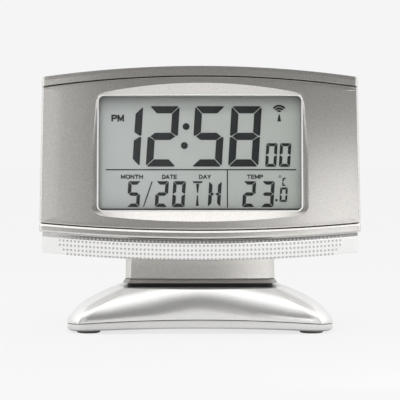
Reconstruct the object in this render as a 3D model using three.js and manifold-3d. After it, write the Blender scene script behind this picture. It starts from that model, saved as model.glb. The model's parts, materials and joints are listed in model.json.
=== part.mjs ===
import * as THREE from "three";
import { mergeVertices } from "three/addons/utils/BufferGeometryUtils.js";
import ManifoldModule from "manifold-3d";

// Sizes are millimetres, +Z is up and the display faces -Y.
// The head is drawn level around its own middle and tilted back as one group.

// Clearances and walls
const FIT = 0.3;
const SEAT = 0.15;
const WALL = 2;
const OVERRUN = 1;

// Window and the space around it
const WINDOW_WIDTH = 95.3;
const WINDOW_HEIGHT = 53.6;
const WINDOW_CORNER = 2.4;
const WINDOW_DEPTH = 6.8;
const WINDOW_LIP = 1.6;
const WINDOW_LIP_BOW = 2.8;
const WINDOW_RISE = 0.65;
const BEVEL_SPREAD_UPRIGHT = 0.85;
const BEVEL_SPREAD_SIDE = 1.3;
const SIDE_BORDER = 27.65;
const HOLDER_SPACE = 3.75;

// Head outline. The splay is the share of its width that the head gains per millimetre downwards.
const HEAD_TILT_DEGREES = 5;
const HEAD_SPLAY = 0.00018;
const BOW_RADIUS = 300;
const ARCH_RISE = 3.9;
const REAR_CORNER = 6;
const FRONT_CORNER = 1.3;
const REAR_CHAMFER = 1.2;

// Trims above and below the housing, each with two tiers
const TRIM_GAP = 0.5;
const TOP_TRIM_THICKNESS = 4.5;
const BOTTOM_TRIM_THICKNESS = 3.6;
const TRIM_REACH = 0.8;
const TRIM_TIER_HEIGHT = 2.5;
const TRIM_TIER_DEPTH = 0.5;
const TRIM_EDGE = 0.3;
const TRIM_WALL = 1.6;
const PEG_RADIUS = 1.5;
const PEG_LENGTH = 1.4;
const PEG_DEPTH = 13;
const PEG_SPACING = 46;

// Display stack, front to back
const LENS_MARGIN = 1.8;
const LENS_THICKNESS = 1.5;
const LENS_CORNER = 1;
const LCD_THICKNESS = 2.6;
const LCD_LEDGE = 2.6;
const BACKLIGHT_THICKNESS = 1.2;
const BACKLIGHT_MARGIN = 3.2;
const CONNECTOR_WIDTH = 2;
const CONNECTOR_MARGIN = 1.1;
const HOLDER_RIM = 1.2;
const HOLDER_CORNER = 1.5;

// Main board and what sits on its back
const BOARD_THICKNESS = 1.6;
const BOARD_CLEARANCE = 2.4;
const BOARD_NOTCH_WIDTH = 4;
const BOARD_NOTCH_HEIGHT = 3;
const CHIP_RADIUS = 7;
const CHIP_HEIGHT = 1.95;
const CHIP_SIDE = 35.5;
const CRYSTAL_RADIUS = 1.1;
const CRYSTAL_LENGTH = 6;
const CRYSTAL_SIDE = -33;
const CHIP_ROW_RISE = 21.7;

// Battery bay and door
const CELL_DIAMETER = 14.2;
const CELL_LENGTH = 49.2;
const CELL_EDGE_WIDTH = 1;
const CELL_EDGE_LENGTH = 0.6;
const CELL_SPACE = 0.4;
const CELL_END_SPACE = 0.2;
const NUB_RADIUS = 2.7;
const NUB_LENGTH = 1.3;
const SPRING_LENGTH = 4.2;
const SPRING_TURNS = 3.25;
const SPRING_WIRE_RADIUS = 0.36;
const SPRING_WIDE_RADIUS = 4.6;
const SPRING_NARROW_RADIUS = 2.6;
const CONTACT_THICKNESS = 0.5;
const CONTACT_WIDTH = 11;
const TAB_WIDTH = 2.4;
const TAB_LENGTH = 0.6;
const BAY_WALL = 2.6;
const BAY_FLOOR = 1.4;
const BAY_LEDGE = 1.2;
const DOOR_THICKNESS = 2;
const DOOR_CORNER = 2.5;
const DOOR_GROOVES = 3;
const DOOR_GROOVE_LENGTH = 7;
const DOOR_GROOVE_WIDTH = 0.7;
const DOOR_GROOVE_DEPTH = 0.6;
const DOOR_GROOVE_SPACING = 1.6;
const LATCH_WIDTH = 12;
const LATCH_LENGTH = 7;
const LATCH_SLOT_WIDTH = 0.9;

// Keys and slider on the back
const KEY_COUNT = 5;
const KEY_ROW_START = -44.2;
const KEY_ROW_RISE = 8.5;
const KEY_SPACING = 17;
const KEY_WIDTH = 9;
const KEY_HEIGHT = 5.6;
const KEY_CORNER = 2.5;
const KEY_PROUD = 1.3;
const KEY_TRAVEL = 0.8;
const KEY_FLANGE_THICKNESS = 1.2;
const KEY_FLANGE_WIDTH = 1.3;
const KEY_STEM_RADIUS = 2;
const MAT_THICKNESS = 1.1;
const MAT_MARGIN = 1.8;
const MAT_CORNER = 1.5;
const DOME_HEIGHT = 2.2;
const DOME_RADIUS = 3.2;
const DOME_TOP_RADIUS = 2.25;
const SLIDER_SIDE = 45.9;
const SLIDER_TRAVEL = 4;
const SLIDER_WIDTH = 7;
const SLIDER_HEIGHT = 4.6;
const SLIDER_PROUD = 1.3;
const SLIDER_STEM_WIDTH = 3.2;
const SLIDER_STEM_HEIGHT = 2.4;
const SLIDER_GROOVE_SPACING = 1.8;
const SLIDER_GROOVE_WIDTH = 0.7;
const SLIDER_GROOVE_DEPTH = 0.5;
const SLIDE_SWITCH_THICKNESS = 4;
const SLIDE_SWITCH_HEIGHT = 5.2;
const SLIDE_SWITCH_MARGIN = 2;
const SLIDE_SWITCH_GROOVE = 1.5;

// Aerial, sounder and sensor
const FERRITE_RADIUS = 4;
const FERRITE_LENGTH = 56;
const COIL_RADIUS = 6.2;
const COIL_LENGTH = 24;
const AERIAL_SPACE = 2;
const AERIAL_HEADROOM = 1.4;
const CRADLE_THICKNESS = 2;
const CRADLE_MARGIN = 2;
const CRADLE_HOLD = 1.2;
const BUZZER_RADIUS = 10.5;
const BUZZER_THICKNESS = 4.5;
const BUZZER_RING_WIDTH = 1.4;
const BUZZER_RING_DEPTH = 4;
const BUZZER_SPACE = 0.5;
const BUZZER_INSET = 29.4;
const BUZZER_RISE = 3;
const SOUND_HOLE_RADIUS = 0.9;
const SOUND_HOLE_SPACING = 3.6;
const SOUND_HOLE_COUNT = 6;
const VENT_COUNT = 4;
const VENT_LENGTH = 12;
const VENT_WIDTH = 1.5;
const VENT_CORNER = 0.74;
const VENT_SPACING = 3.6;
const SENSOR_RADIUS = 1.5;
const SENSOR_LENGTH = 4;

// Snooze bar and its switch
const BAR_GAP = 0.4;
const BAR_HEIGHT = 9.4;
const BAR_SLOPE_HEIGHT = 2.8;
const BAR_SLOPE_DEPTH = 2.6;
const BAR_UNDERCUT_DEPTH = 1.7;
const BAR_LIP = 0.8;
const BAR_DEPTH = 8.6;
const BAR_WALL = 1.8;
const BAR_TRAVEL = 1.2;
const BAR_END_INSET = 1.5;
const LUG_SPACING = 60;
const LUG_DEPTH = 15;
const LUG_WIDTH = 5;
const LUG_LENGTH = 4;
const LUG_HEAD_WIDTH = 9;
const LUG_HEAD_THICKNESS = 1.1;
const LUG_ARM_START = 4;
const PUSHER_RADIUS = 2.2;
const PUSHER_DROP = 5.1;
const PUSHER_SPACE = 0.4;
const SNOOZE_SWITCH_WIDTH = 6;
const SNOOZE_SWITCH_HEIGHT = 5;
const SNOOZE_SWITCH_DEPTH = 3.6;
const SNOOZE_PLUNGER_RADIUS = 1.7;
const SNOOZE_PLUNGER_LENGTH = 1.2;
const SNOOZE_PLUNGER_ROOT = 0.5;
const SNOOZE_BOARD_WIDTH = 21;
const SNOOZE_BOARD_BELOW = 4.5;
const SNOOZE_BOARD_ABOVE = 1.5;
const SNOOZE_POST_RADIUS = 1.8;
const SNOOZE_POST_INSET = 2;

// Neck and collar
const NECK_WIDTH = 69.6;
const NECK_DEPTH = 23;
const NECK_HEIGHT = 17.5;
const NECK_CHAMFER_SIDE = 2.5;
const NECK_CHAMFER_FRONT = 4.5;
const NECK_DRAFT = 0.025;
const NECK_WALL = 2.2;
const NECK_LID = 2.6;
const NECK_SETBACK = 1;
const NECK_BOSS_WALL = 2.5;
const COLLAR_THICKNESS = 1.8;
const COLLAR_OVERHANG = 1.6;
const COLLAR_TAPER = 1.2;
const COLLAR_SPACE = 0.6;
const PLINTH_HEIGHT = 0.8;
const PLINTH_INSET = 2;

// Base
const BASE_WIDTH = 125.2;
const BASE_DEPTH = 62;
const BASE_HEIGHT = 21.2;
const BASE_SIDE_CURVE = 1.75;
const BASE_FRONT_CURVE = 5;
const BASE_CORNER_SIDE = 11;
const BASE_CORNER_FRONT = 18;
const BASE_ARCH_RADIUS = 760;
const BASE_SHELL = 2.2;
const SHOULDER_CORNER = 3;
const SHOULDER_MARGIN = 1.5;
const SKIRT_HEIGHT = 3.36;
const PARTING_GAP = 0.35;
const PLATE_INSET = 0.2;
const PLATE_DRAFT = 0.5;
const FOOT_RADIUS = 5.55;
const FOOT_EDGE = 0.5;
const FOOT_CLEARANCE = 1.66;
const FOOT_RECESS = 0.9;
const FOOT_INSET_SIDE = 10.8;
const FOOT_INSET_FRONT = 9;

// Screws
const SCREW_RADIUS = 1.45;
const SCREW_POINT_LENGTH = 1.2;
const SCREW_HEAD_RADIUS = 2.7;
const SCREW_HEAD_TOP_RADIUS = 2.16;
const SCREW_HEAD_HEIGHT = 1.5;
const SCREW_SLOT_LENGTH = 2.7;
const SCREW_SLOT_WIDTH = 0.7;
const SCREW_SLOT_DEPTH = 0.8;
const SCREW_BOSS_WALL = 1.9;
const SCREW_WELL_WALL = 1.4;
const HOUSING_SCREW_INSET_SIDE = 9.5;
const HOUSING_SCREW_RISE = 24;
const HOUSING_SCREW_SEAT = 2.6;
const HOUSING_SCREW_STOP = 4;
const BOARD_SCREW_STOP = 3.2;
const HEAD_SCREW_SPACING = 14;
const HEAD_SCREW_REACH = 3;
const NECK_SCREW_SPACING = 24;
const NECK_SCREW_REACH = 9;
const BASE_SCREW_SPACING_SIDE = 40;
const BASE_SCREW_SPACING_FRONT = 17;
const BASE_SCREW_SINK = 0.2;
const BASE_SCREW_REACH = 8;

// Leads
const LEAD_RADIUS = 0.6;
const LEAD_BEND = 6;
const LEAD_TAIL = 3;
const POSITIVE_LEAD_END = 10;
const NEGATIVE_LEAD_END = 16;
const SNOOZE_LEAD_RADIUS = 0.8;
const SNOOZE_LEAD_SIDE = 4.9;
const SNOOZE_LEAD_LENGTH = 16;

// Facets
const SPAN_STEPS = 12;
const LIP_STEPS = 8;
const CORNER_STEPS = 3;
const BASE_LEVELS = 8;
const BASE_CORNER_STEPS = 5;
const SPRING_STEPS = 8;
const WIRE_SIDES = 5;
const LEAD_SIDES = 6;
const LEAD_STEPS = 12;
const SCREW_SIDES = 8;
const HOLE_SIDES = 10;
const ROD_SIDES = 14;
const DISC_SIDES = 18;

// Finishes: colour, roughness and metalness read from the photograph or usual for the piece
const FINISH = {
  silver: { color: 0xb4b3ae, roughness: 0.38, metalness: 0.55 },
  brightSilver: { color: 0xc9c9c7, roughness: 0.3, metalness: 0.55 },
  baseSilver: { color: 0xc4c4c2, roughness: 0.24, metalness: 0.6 },
  collarGrey: { color: 0x8a8884, roughness: 0.4, metalness: 0.4 },
  backSilver: { color: 0xa9a8a4, roughness: 0.45, metalness: 0.35 },
  keyGrey: { color: 0x8e8d8a, roughness: 0.5, metalness: 0.1 },
  clear: { color: 0xe8ece8, roughness: 0.05, metalness: 0, transparent: true, opacity: 0.25 },
  lcdGreen: { color: 0xa9aeab, roughness: 0.25, metalness: 0 },
  darkPlastic: { color: 0x2c2c2c, roughness: 0.6, metalness: 0 },
  lightPlastic: { color: 0xe9e7df, roughness: 0.5, metalness: 0 },
  rubber: { color: 0x4d4d4d, roughness: 0.85, metalness: 0 },
  boardGreen: { color: 0x1f5a36, roughness: 0.5, metalness: 0 },
  blackResin: { color: 0x151515, roughness: 0.35, metalness: 0 },
  steel: { color: 0xb8b8b8, roughness: 0.3, metalness: 1 },
  ferrite: { color: 0x33302e, roughness: 0.7, metalness: 0.1 },
  copper: { color: 0xa5592c, roughness: 0.4, metalness: 0.8 },
  brass: { color: 0xb8974a, roughness: 0.35, metalness: 1 },
  cellJacket: { color: 0x2b5a7c, roughness: 0.35, metalness: 0.2 },
  redWire: { color: 0xa01f1c, roughness: 0.5, metalness: 0 },
  blackWire: { color: 0x1c1c1c, roughness: 0.5, metalness: 0 },
  greyWire: { color: 0x777777, roughness: 0.5, metalness: 0 },
};

const kernel = await ManifoldModule();
kernel.setup();

// Widths and heights of the head
const windowHalfWidth = WINDOW_WIDTH / 2;
const windowHalfHeight = WINDOW_HEIGHT / 2;
const lensHalfWidth = windowHalfWidth + LENS_MARGIN;
const lensHalfHeight = windowHalfHeight + LENS_MARGIN;
const holderOpenWidth = lensHalfWidth + FIT;
const holderOpenHeight = lensHalfHeight + FIT;
const holderHalfWidth = holderOpenWidth + HOLDER_RIM;
const holderHalfHeight = holderOpenHeight + HOLDER_RIM;
const bodyHalfHeight = holderHalfHeight + HOLDER_SPACE + WALL;
const bodyHalfWidth = windowHalfWidth + SIDE_BORDER;
const barHalfWidth = bodyHalfWidth - BAR_END_INSET;

// Depths in the head, from the middle of its front backwards
const bezelBack = WINDOW_DEPTH + WINDOW_LIP;
const lensFront = bezelBack + SEAT;
const lcdFront = lensFront + LENS_THICKNESS + SEAT;
const lcdBack = lcdFront + LCD_THICKNESS;
const backlightFront = lcdBack + SEAT;
const boardFront = backlightFront + BACKLIGHT_THICKNESS + SEAT;
const boardBack = boardFront + BOARD_THICKNESS;
const boardSide = boardBack + SEAT;
const partingDepth = boardBack + BOARD_CLEARANCE / 2;
const frontHousingBack = partingDepth - FIT / 2;
const rearHousingFront = partingDepth + FIT / 2;
const bayFront = boardBack + BOARD_CLEARANCE;
const bayInside = bayFront + BAY_FLOOR;
const cellDepth = bayInside + CELL_SPACE + CELL_DIAMETER / 2;
const doorInside = cellDepth + CELL_DIAMETER / 2 + CELL_SPACE;
const headDepth = doorInside + DOOR_THICKNESS;
const rearWallInside = headDepth - WALL;

// Curves of the head: the arch of its top and bottom and the bow of its front
const arcDrop = (radius, x) => radius - Math.sqrt(radius ** 2 - x ** 2);
const archRadius = (bodyHalfWidth ** 2 + ARCH_RISE ** 2) / (2 * ARCH_RISE);
const bow = (x) => arcDrop(BOW_RADIUS, x);
const bodyTop = (x) => bodyHalfHeight - arcDrop(archRadius, x);
const trimInside = (x) => bodyTop(x) + TRIM_GAP;
const bottomTrimOutside = (x) => trimInside(x) + BOTTOM_TRIM_THICKNESS;
const barTop = (x) => bottomTrimOutside(x) + BAR_GAP;

// Places in the battery bay
const contactStack = NUB_LENGTH + SPRING_LENGTH + 2 * CONTACT_THICKNESS;
const bayHalfLength = (CELL_LENGTH + contactStack) / 2 + 2 * SEAT + CELL_END_SPACE;
const bayHalfHeight = CELL_DIAMETER + 1.5 * CELL_SPACE;
const bayBottom = -(bodyTop(bayHalfLength + BAY_WALL) - WALL) + BAY_WALL - BAY_LEDGE;
const bayMiddle = bayBottom + bayHalfHeight;
const bayTop = bayBottom + 2 * bayHalfHeight;
const doorHalfWidth = bayHalfLength + BAY_LEDGE;
const doorHalfHeight = bayHalfHeight + BAY_LEDGE;
const upperCell = bayMiddle + (CELL_DIAMETER + CELL_SPACE) / 2;
const lowerCell = bayMiddle - (CELL_DIAMETER + CELL_SPACE) / 2;
const cellShift = (SPRING_LENGTH - NUB_LENGTH) / 2;
const springStart = bayHalfLength - SEAT - CONTACT_THICKNESS;

// Places of keys, slider, sounder, sensor and aerial
const keyRow = bayTop + BAY_WALL + KEY_ROW_RISE;
const keyPlaces = Array.from({ length: KEY_COUNT }, (unused, k) => KEY_ROW_START + k * KEY_SPACING);
const domeTop = boardSide + MAT_THICKNESS + DOME_HEIGHT;
const slideSwitchTop = boardSide + SLIDE_SWITCH_THICKNESS;
const buzzerSide = -(bodyHalfWidth - BUZZER_INSET);
const buzzerRise = bayMiddle + BUZZER_RISE;
const sensorSide = -buzzerSide;
const aerialDepth = rearWallInside - COIL_RADIUS - AERIAL_SPACE;
const aerialRise = bodyTop(FERRITE_LENGTH / 2) - WALL - COIL_RADIUS - AERIAL_HEADROOM;
const leadDepth = boardSide + SNOOZE_LEAD_RADIUS;

// Places of the screws in the head
const holeRadius = SCREW_RADIUS + FIT;
const bossRadius = holeRadius + SCREW_BOSS_WALL;
const headHoleRadius = SCREW_HEAD_RADIUS + FIT;
const housingScrewSide = bodyHalfWidth - HOUSING_SCREW_INSET_SIDE;
const housingScrewSeat = rearHousingFront + HOUSING_SCREW_SEAT;
const boardHalfWidth = housingScrewSide - bossRadius - SCREW_BOSS_WALL;
const boardHalfHeight = holderHalfHeight;
const boardScrewSide = (holderHalfWidth + boardHalfWidth) / 2;
const headScrewTip = -bodyTop(HEAD_SCREW_SPACING) + HEAD_SCREW_REACH;

// Heights of the base, collar and neck
const baseHalfWidth = BASE_WIDTH / 2;
const baseHalfDepth = BASE_DEPTH / 2;
const footSide = baseHalfWidth - FOOT_INSET_SIDE;
const footFront = baseHalfDepth - FOOT_INSET_FRONT;
const footTop = FOOT_CLEARANCE + FOOT_RECESS;
const baseDrop = (x) => arcDrop(BASE_ARCH_RADIUS, x);
const underside = (x) => FOOT_CLEARANCE + baseDrop(footSide) - baseDrop(x);
const partingLine = (x) => underside(x) + SKIRT_HEIGHT;
const shoulderInside = BASE_HEIGHT - BASE_SHELL;
const plinthTop = BASE_HEIGHT + PLINTH_HEIGHT;
const collarBottom = plinthTop + SEAT;
const collarTop = collarBottom + COLLAR_THICKNESS;
const neckFoot = collarTop + SEAT;
const neckHalfWidth = NECK_WIDTH / 2;
const neckHalfDepth = NECK_DEPTH / 2;
const collarHalfWidth = neckHalfWidth + COLLAR_OVERHANG;
const collarHalfDepth = neckHalfDepth + COLLAR_OVERHANG;
const shoulderHalfWidth = collarHalfWidth;
const shoulderHalfDepth = collarHalfDepth + SHOULDER_MARGIN;
const neckBossRadius = holeRadius + NECK_BOSS_WALL;
const neckScrewTip = plinthTop + NECK_SCREW_REACH;
const baseScrewSeat = underside(BASE_SCREW_SPACING_SIDE) + SCREW_HEAD_HEIGHT + BASE_SCREW_SINK;
const baseScrewTip = partingLine(BASE_SCREW_SPACING_SIDE) + BASE_SCREW_REACH;

// The head's place over the base
const tilt = THREE.MathUtils.degToRad(HEAD_TILT_DEGREES);
const neckMiddle = headDepth - NECK_SETBACK - neckHalfDepth;
const neckLid = -(bottomTrimOutside(0) + FIT + NECK_LID);
const neckTopHeight = neckFoot + NECK_HEIGHT;
const headHeight = neckTopHeight + neckMiddle * Math.sin(tilt) + bottomTrimOutside(0) * Math.cos(tilt);
const footLocal = (neckFoot - headHeight + neckMiddle * Math.sin(tilt)) / Math.cos(tilt);
const headForward = -(neckMiddle * Math.cos(tilt) + footLocal * Math.sin(tilt));
const headPlace = new THREE.Matrix4()
  .makeTranslation(0, headForward, headHeight)
  .multiply(new THREE.Matrix4().makeRotationX(-tilt));

// Snooze switch inside the neck, behind the bar
const neckFrontInside = neckMiddle - neckHalfDepth + NECK_WALL;
const pusherTip = neckFrontInside - PUSHER_SPACE;
const plungerTip = pusherTip + BAR_TRAVEL + FIT;
const snoozeSwitchFront = plungerTip + SNOOZE_PLUNGER_LENGTH;
const snoozeSwitchBack = snoozeSwitchFront + SNOOZE_SWITCH_DEPTH;
const snoozeBoardFront = snoozeSwitchBack + SEAT;
const snoozeRise = -(barTop(0) + PUSHER_DROP);

const sides = [-1, 1];
const mirrorPairs = [[-1, -1], [1, -1], [-1, 1], [1, 1]];

// Geometry helpers
function facingOut(geometry) {
  const bare = new THREE.BufferGeometry();
  bare.setAttribute("position", geometry.getAttribute("position").clone());
  if (geometry.getIndex()) {
    bare.setIndex(geometry.getIndex().clone());
  }
  const welded = mergeVertices(bare, 1e-4);
  const position = welded.getAttribute("position");
  const source = welded.getIndex().array;
  const kept = [];
  let volume = 0;
  const corner = [new THREE.Vector3(), new THREE.Vector3(), new THREE.Vector3()];
  for (let i = 0; i < source.length; i += 3) {
    const [first, second, third] = [source[i], source[i + 1], source[i + 2]];
    if (first === second || second === third || third === first) {
      continue;
    }
    kept.push(first, second, third);
    [first, second, third].forEach((index, k) => corner[k].fromBufferAttribute(position, index));
    volume += corner[0].dot(corner[1].clone().cross(corner[2])) / 6;
  }
  if (volume < 0) {
    for (let i = 0; i < kept.length; i += 3) {
      [kept[i], kept[i + 1]] = [kept[i + 1], kept[i]];
    }
  }
  welded.setIndex(kept);
  return welded;
}

function solid(geometry) {
  const closed = facingOut(geometry);
  return new kernel.Manifold(
    new kernel.Mesh({
      numProp: 3,
      vertProperties: new Float32Array(closed.getAttribute("position").array),
      triVerts: new Uint32Array(closed.getIndex().array),
    }),
  );
}

function surface(body) {
  const mesh = body.getMesh();
  const geometry = new THREE.BufferGeometry();
  geometry.setAttribute("position", new THREE.BufferAttribute(new Float32Array(mesh.vertProperties), 3));
  geometry.setIndex(new THREE.BufferAttribute(new Uint32Array(mesh.triVerts), 1));
  const flat = geometry.toNonIndexed();
  flat.computeVertexNormals();
  return flat;
}

const join = (first, ...others) => others.reduce((body, other) => body.add(other), first);
const cut = (first, ...others) => others.reduce((body, other) => body.subtract(other), first);
const common = (first, second) => first.intersect(second);

// Box between two places on each axis, given in either order
function block([x0, x1], [y0, y1], [z0, z1]) {
  const geometry = new THREE.BoxGeometry(Math.abs(x1 - x0), Math.abs(y1 - y0), Math.abs(z1 - z0));
  return solid(geometry.translate((x0 + x1) / 2, (y0 + y1) / 2, (z0 + z1) / 2));
}

const around = (middle, size) => [middle - size / 2, middle + size / 2];

function rodAlongX(y, z, radius, [x0, x1], facets = ROD_SIDES) {
  const geometry = new THREE.CylinderGeometry(radius, radius, x1 - x0, facets).rotateZ(Math.PI / 2);
  return solid(geometry.translate((x0 + x1) / 2, y, z));
}

function rodAlongY(x, z, radius, [y0, y1], facets = ROD_SIDES, radiusEnd = radius) {
  const geometry = new THREE.CylinderGeometry(radiusEnd, radius, y1 - y0, facets);
  return solid(geometry.translate(x, (y0 + y1) / 2, z));
}

function rodAlongZ(x, y, radius, [z0, z1], facets = ROD_SIDES) {
  const geometry = new THREE.CylinderGeometry(radius, radius, Math.abs(z1 - z0), facets);
  return solid(geometry.rotateX(Math.PI / 2).translate(x, y, (z0 + z1) / 2));
}

const pointList = (pairs) => pairs.map(([x, y]) => new THREE.Vector2(x, y));

function turnedSolid(profile, facets) {
  return new THREE.LatheGeometry(pointList(profile), facets);
}

function roundedOutline(halfWidth, halfHeight, cornerWidth, cornerHeight, steps) {
  const points = [];
  const quarters = [[1, 1], [-1, 1], [-1, -1], [1, -1]];
  quarters.forEach(([signX, signY], quarter) => {
    for (let k = 0; k <= steps; k += 1) {
      const angle = ((quarter + k / steps) * Math.PI) / 2;
      const x = signX * (halfWidth - cornerWidth) + cornerWidth * Math.cos(angle);
      const y = signY * (halfHeight - cornerHeight) + cornerHeight * Math.sin(angle);
      points.push(new THREE.Vector2(x, y));
    }
  });
  return points;
}

function plateAlongY(points, [y0, y1], x = 0, z = 0) {
  const shape = new THREE.Shape(points);
  const geometry = new THREE.ExtrudeGeometry(shape, { depth: y1 - y0, bevelEnabled: false });
  return solid(geometry.rotateX(Math.PI / 2).translate(x, y1, z));
}

function plateAlongZ(points, [z0, z1]) {
  const shape = new THREE.Shape(points);
  const geometry = new THREE.ExtrudeGeometry(shape, { depth: z1 - z0, bevelEnabled: false });
  return solid(geometry.translate(0, 0, z0));
}

// Closed skin through rings of equal point count, its ends filled as seen by flatten
function loftGeometry(rings, flatten) {
  const count = rings[0].length;
  const positions = rings.flat().flatMap((point) => [point.x, point.y, point.z]);
  const faces = [];
  for (let ring = 0; ring + 1 < rings.length; ring += 1) {
    for (let k = 0; k < count; k += 1) {
      const next = (k + 1) % count;
      const low = ring * count;
      const high = low + count;
      faces.push(low + k, low + next, high + next, low + k, high + next, high + k);
    }
  }
  const last = (rings.length - 1) * count;
  const startFlat = rings[0].map(flatten);
  const endFlat = rings[rings.length - 1].map(flatten);
  const turned = THREE.ShapeUtils.isClockWise(startFlat);
  for (const [a, b, c] of THREE.ShapeUtils.triangulateShape(startFlat, [])) {
    faces.push(...(turned ? [a, b, c] : [a, c, b]));
  }
  for (const [a, b, c] of THREE.ShapeUtils.triangulateShape(endFlat, [])) {
    faces.push(...(turned ? [last + a, last + c, last + b] : [last + a, last + b, last + c]));
  }
  const geometry = new THREE.BufferGeometry();
  geometry.setAttribute("position", new THREE.Float32BufferAttribute(positions, 3));
  geometry.setIndex(faces);
  return geometry;
}

// Loft along X: section(x) gives the [y, z] corners there, and the splay widens it downwards
function spanLoft(stations, section, splay = HEAD_SPLAY) {
  const rings = stations.map((x) =>
    section(x).map(([y, z]) => new THREE.Vector3(x * (1 - splay * z), y, z)),
  );
  return solid(loftGeometry(rings, (point) => new THREE.Vector2(point.y, point.z)));
}

// Loft along Z through outlines [points, z]
function levelGeometry(levels) {
  const rings = levels.map(([points, z]) => points.map((point) => new THREE.Vector3(point.x, point.y, z)));
  return loftGeometry(rings, (point) => new THREE.Vector2(point.x, point.y));
}

// Loft along Y through outlines [points, depthAt], points in x and z and the depth a function of x
function depthLoft(levels) {
  const rings = levels.map(([points, depthAt]) =>
    points.map((point) => new THREE.Vector3(point.x, depthAt(point.x), point.y)),
  );
  return solid(loftGeometry(rings, (point) => new THREE.Vector2(point.x, point.z)));
}

// Round wire: frames give the middle and two unit directions across it at each step
function wire(frames, radius, facets) {
  const angles = Array.from({ length: facets }, (unused, k) => (k / facets) * 2 * Math.PI);
  const rings = frames.map(({ middle, first, second }) =>
    angles.map((angle) =>
      middle
        .clone()
        .addScaledVector(first, radius * Math.cos(angle))
        .addScaledVector(second, radius * Math.sin(angle)),
    ),
  );
  const fan = new Map();
  rings.forEach((ring) =>
    ring.forEach((point, k) => fan.set(point, new THREE.Vector2(Math.cos(angles[k]), Math.sin(angles[k])))),
  );
  return solid(loftGeometry(rings, (point) => fan.get(point)));
}

function cable(points, radius) {
  const curve = new THREE.CatmullRomCurve3(points.map((point) => new THREE.Vector3(...point)));
  const { normals, binormals } = curve.computeFrenetFrames(LEAD_STEPS, false);
  const frames = normals.map((first, i) => ({
    middle: curve.getPointAt(i / LEAD_STEPS),
    first,
    second: binormals[i],
  }));
  return wire(frames, radius, LEAD_SIDES);
}

const evenStations = (half, steps) =>
  Array.from({ length: steps + 1 }, (unused, k) => half * ((2 * k) / steps - 1));

// Head skins: stations along X, closer together over the rounded ends
function spanStations(halfWidth) {
  const straight = halfWidth - REAR_CORNER;
  const right = [halfWidth - FRONT_CORNER];
  for (let k = 1; k <= CORNER_STEPS; k += 1) {
    right.push(straight + REAR_CORNER * Math.sin((k / CORNER_STEPS) * (Math.PI / 2)));
  }
  right.sort((first, second) => first - second);
  const left = right.map((x) => -x).reverse();
  return [...left, ...evenStations(straight, SPAN_STEPS), ...right];
}

function cornerLoss(x, halfWidth, radius) {
  const past = Math.max(0, Math.abs(x) - (halfWidth - radius));
  return radius - Math.sqrt(Math.max(0, radius ** 2 - past ** 2));
}

const frontAt = (x, halfWidth) => bow(x) + cornerLoss(x, halfWidth, FRONT_CORNER);
const rearAt = (x, halfWidth) => headDepth - cornerLoss(x, halfWidth, REAR_CORNER);

function bodySlab(fromDepth, toDepth, inset) {
  const halfWidth = bodyHalfWidth - inset;
  return spanLoft(spanStations(halfWidth), (x) => {
    const top = bodyTop(x) - inset;
    const near = fromDepth(x, halfWidth);
    const far = toDepth(x, halfWidth);
    return [[near, -top], [far, -top], [far, top], [near, top]];
  });
}

// Front housing
// Outline with the level edges between its corners divided, so that they can follow a curve
function dividedOutline(points, steps) {
  return points.flatMap((point, k) => {
    const next = points[(k + 1) % points.length];
    const count = point.y === next.y ? steps : 1;
    return Array.from({ length: count }, (unused, step) => point.clone().lerp(next, step / count));
  });
}

function windowFrame(extra, depthAt, spread) {
  const outline = roundedOutline(
    windowHalfWidth + extra + BEVEL_SPREAD_SIDE * spread,
    windowHalfHeight + extra + BEVEL_SPREAD_UPRIGHT * spread,
    WINDOW_CORNER + extra,
    WINDOW_CORNER + extra,
    CORNER_STEPS,
  );
  const raised = outline.map((point) => new THREE.Vector2(point.x, point.y + WINDOW_RISE));
  return [dividedOutline(raised, LIP_STEPS), depthAt];
}

const level = (depth) => () => depth;
// The lip stands furthest forward in the middle, as the bowed front does
const lipDepth = (x) => WINDOW_DEPTH - WINDOW_LIP_BOW * (1 - (x / windowHalfWidth) ** 2);

function windowCutter() {
  const bevel = depthLoft([
    windowFrame(0, level(-OVERRUN), WINDOW_DEPTH + OVERRUN),
    windowFrame(0, lipDepth, 0),
  ]);
  const opening = depthLoft([
    windowFrame(0, (x) => lipDepth(x) - OVERRUN, 0),
    windowFrame(0, level(bezelBack + OVERRUN), 0),
  ]);
  return join(bevel, opening);
}

function bezelBody() {
  return depthLoft([
    windowFrame(LENS_MARGIN, level(-OVERRUN), bezelBack + OVERRUN),
    windowFrame(LENS_MARGIN, level(bezelBack), 0),
  ]);
}

function pegHoles() {
  return [-1, 0, 1].flatMap((slot) =>
    sides.map((rise) => {
      const x = slot * PEG_SPACING;
      const height = around(rise * bodyTop(x), 4 * WALL);
      return rodAlongZ(x, PEG_DEPTH, PEG_RADIUS + FIT, height, SCREW_SIDES);
    }),
  );
}

function snoozeLeadHole(space, [z0, z1]) {
  return rodAlongZ(SNOOZE_LEAD_SIDE, leadDepth, SNOOZE_LEAD_RADIUS + space, [z0, z1], HOLE_SIDES);
}

const housingLeadHole = () =>
  snoozeLeadHole(FIT, [-bodyHalfHeight - OVERRUN, -bodyHalfHeight + 2 * WALL]);

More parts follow.
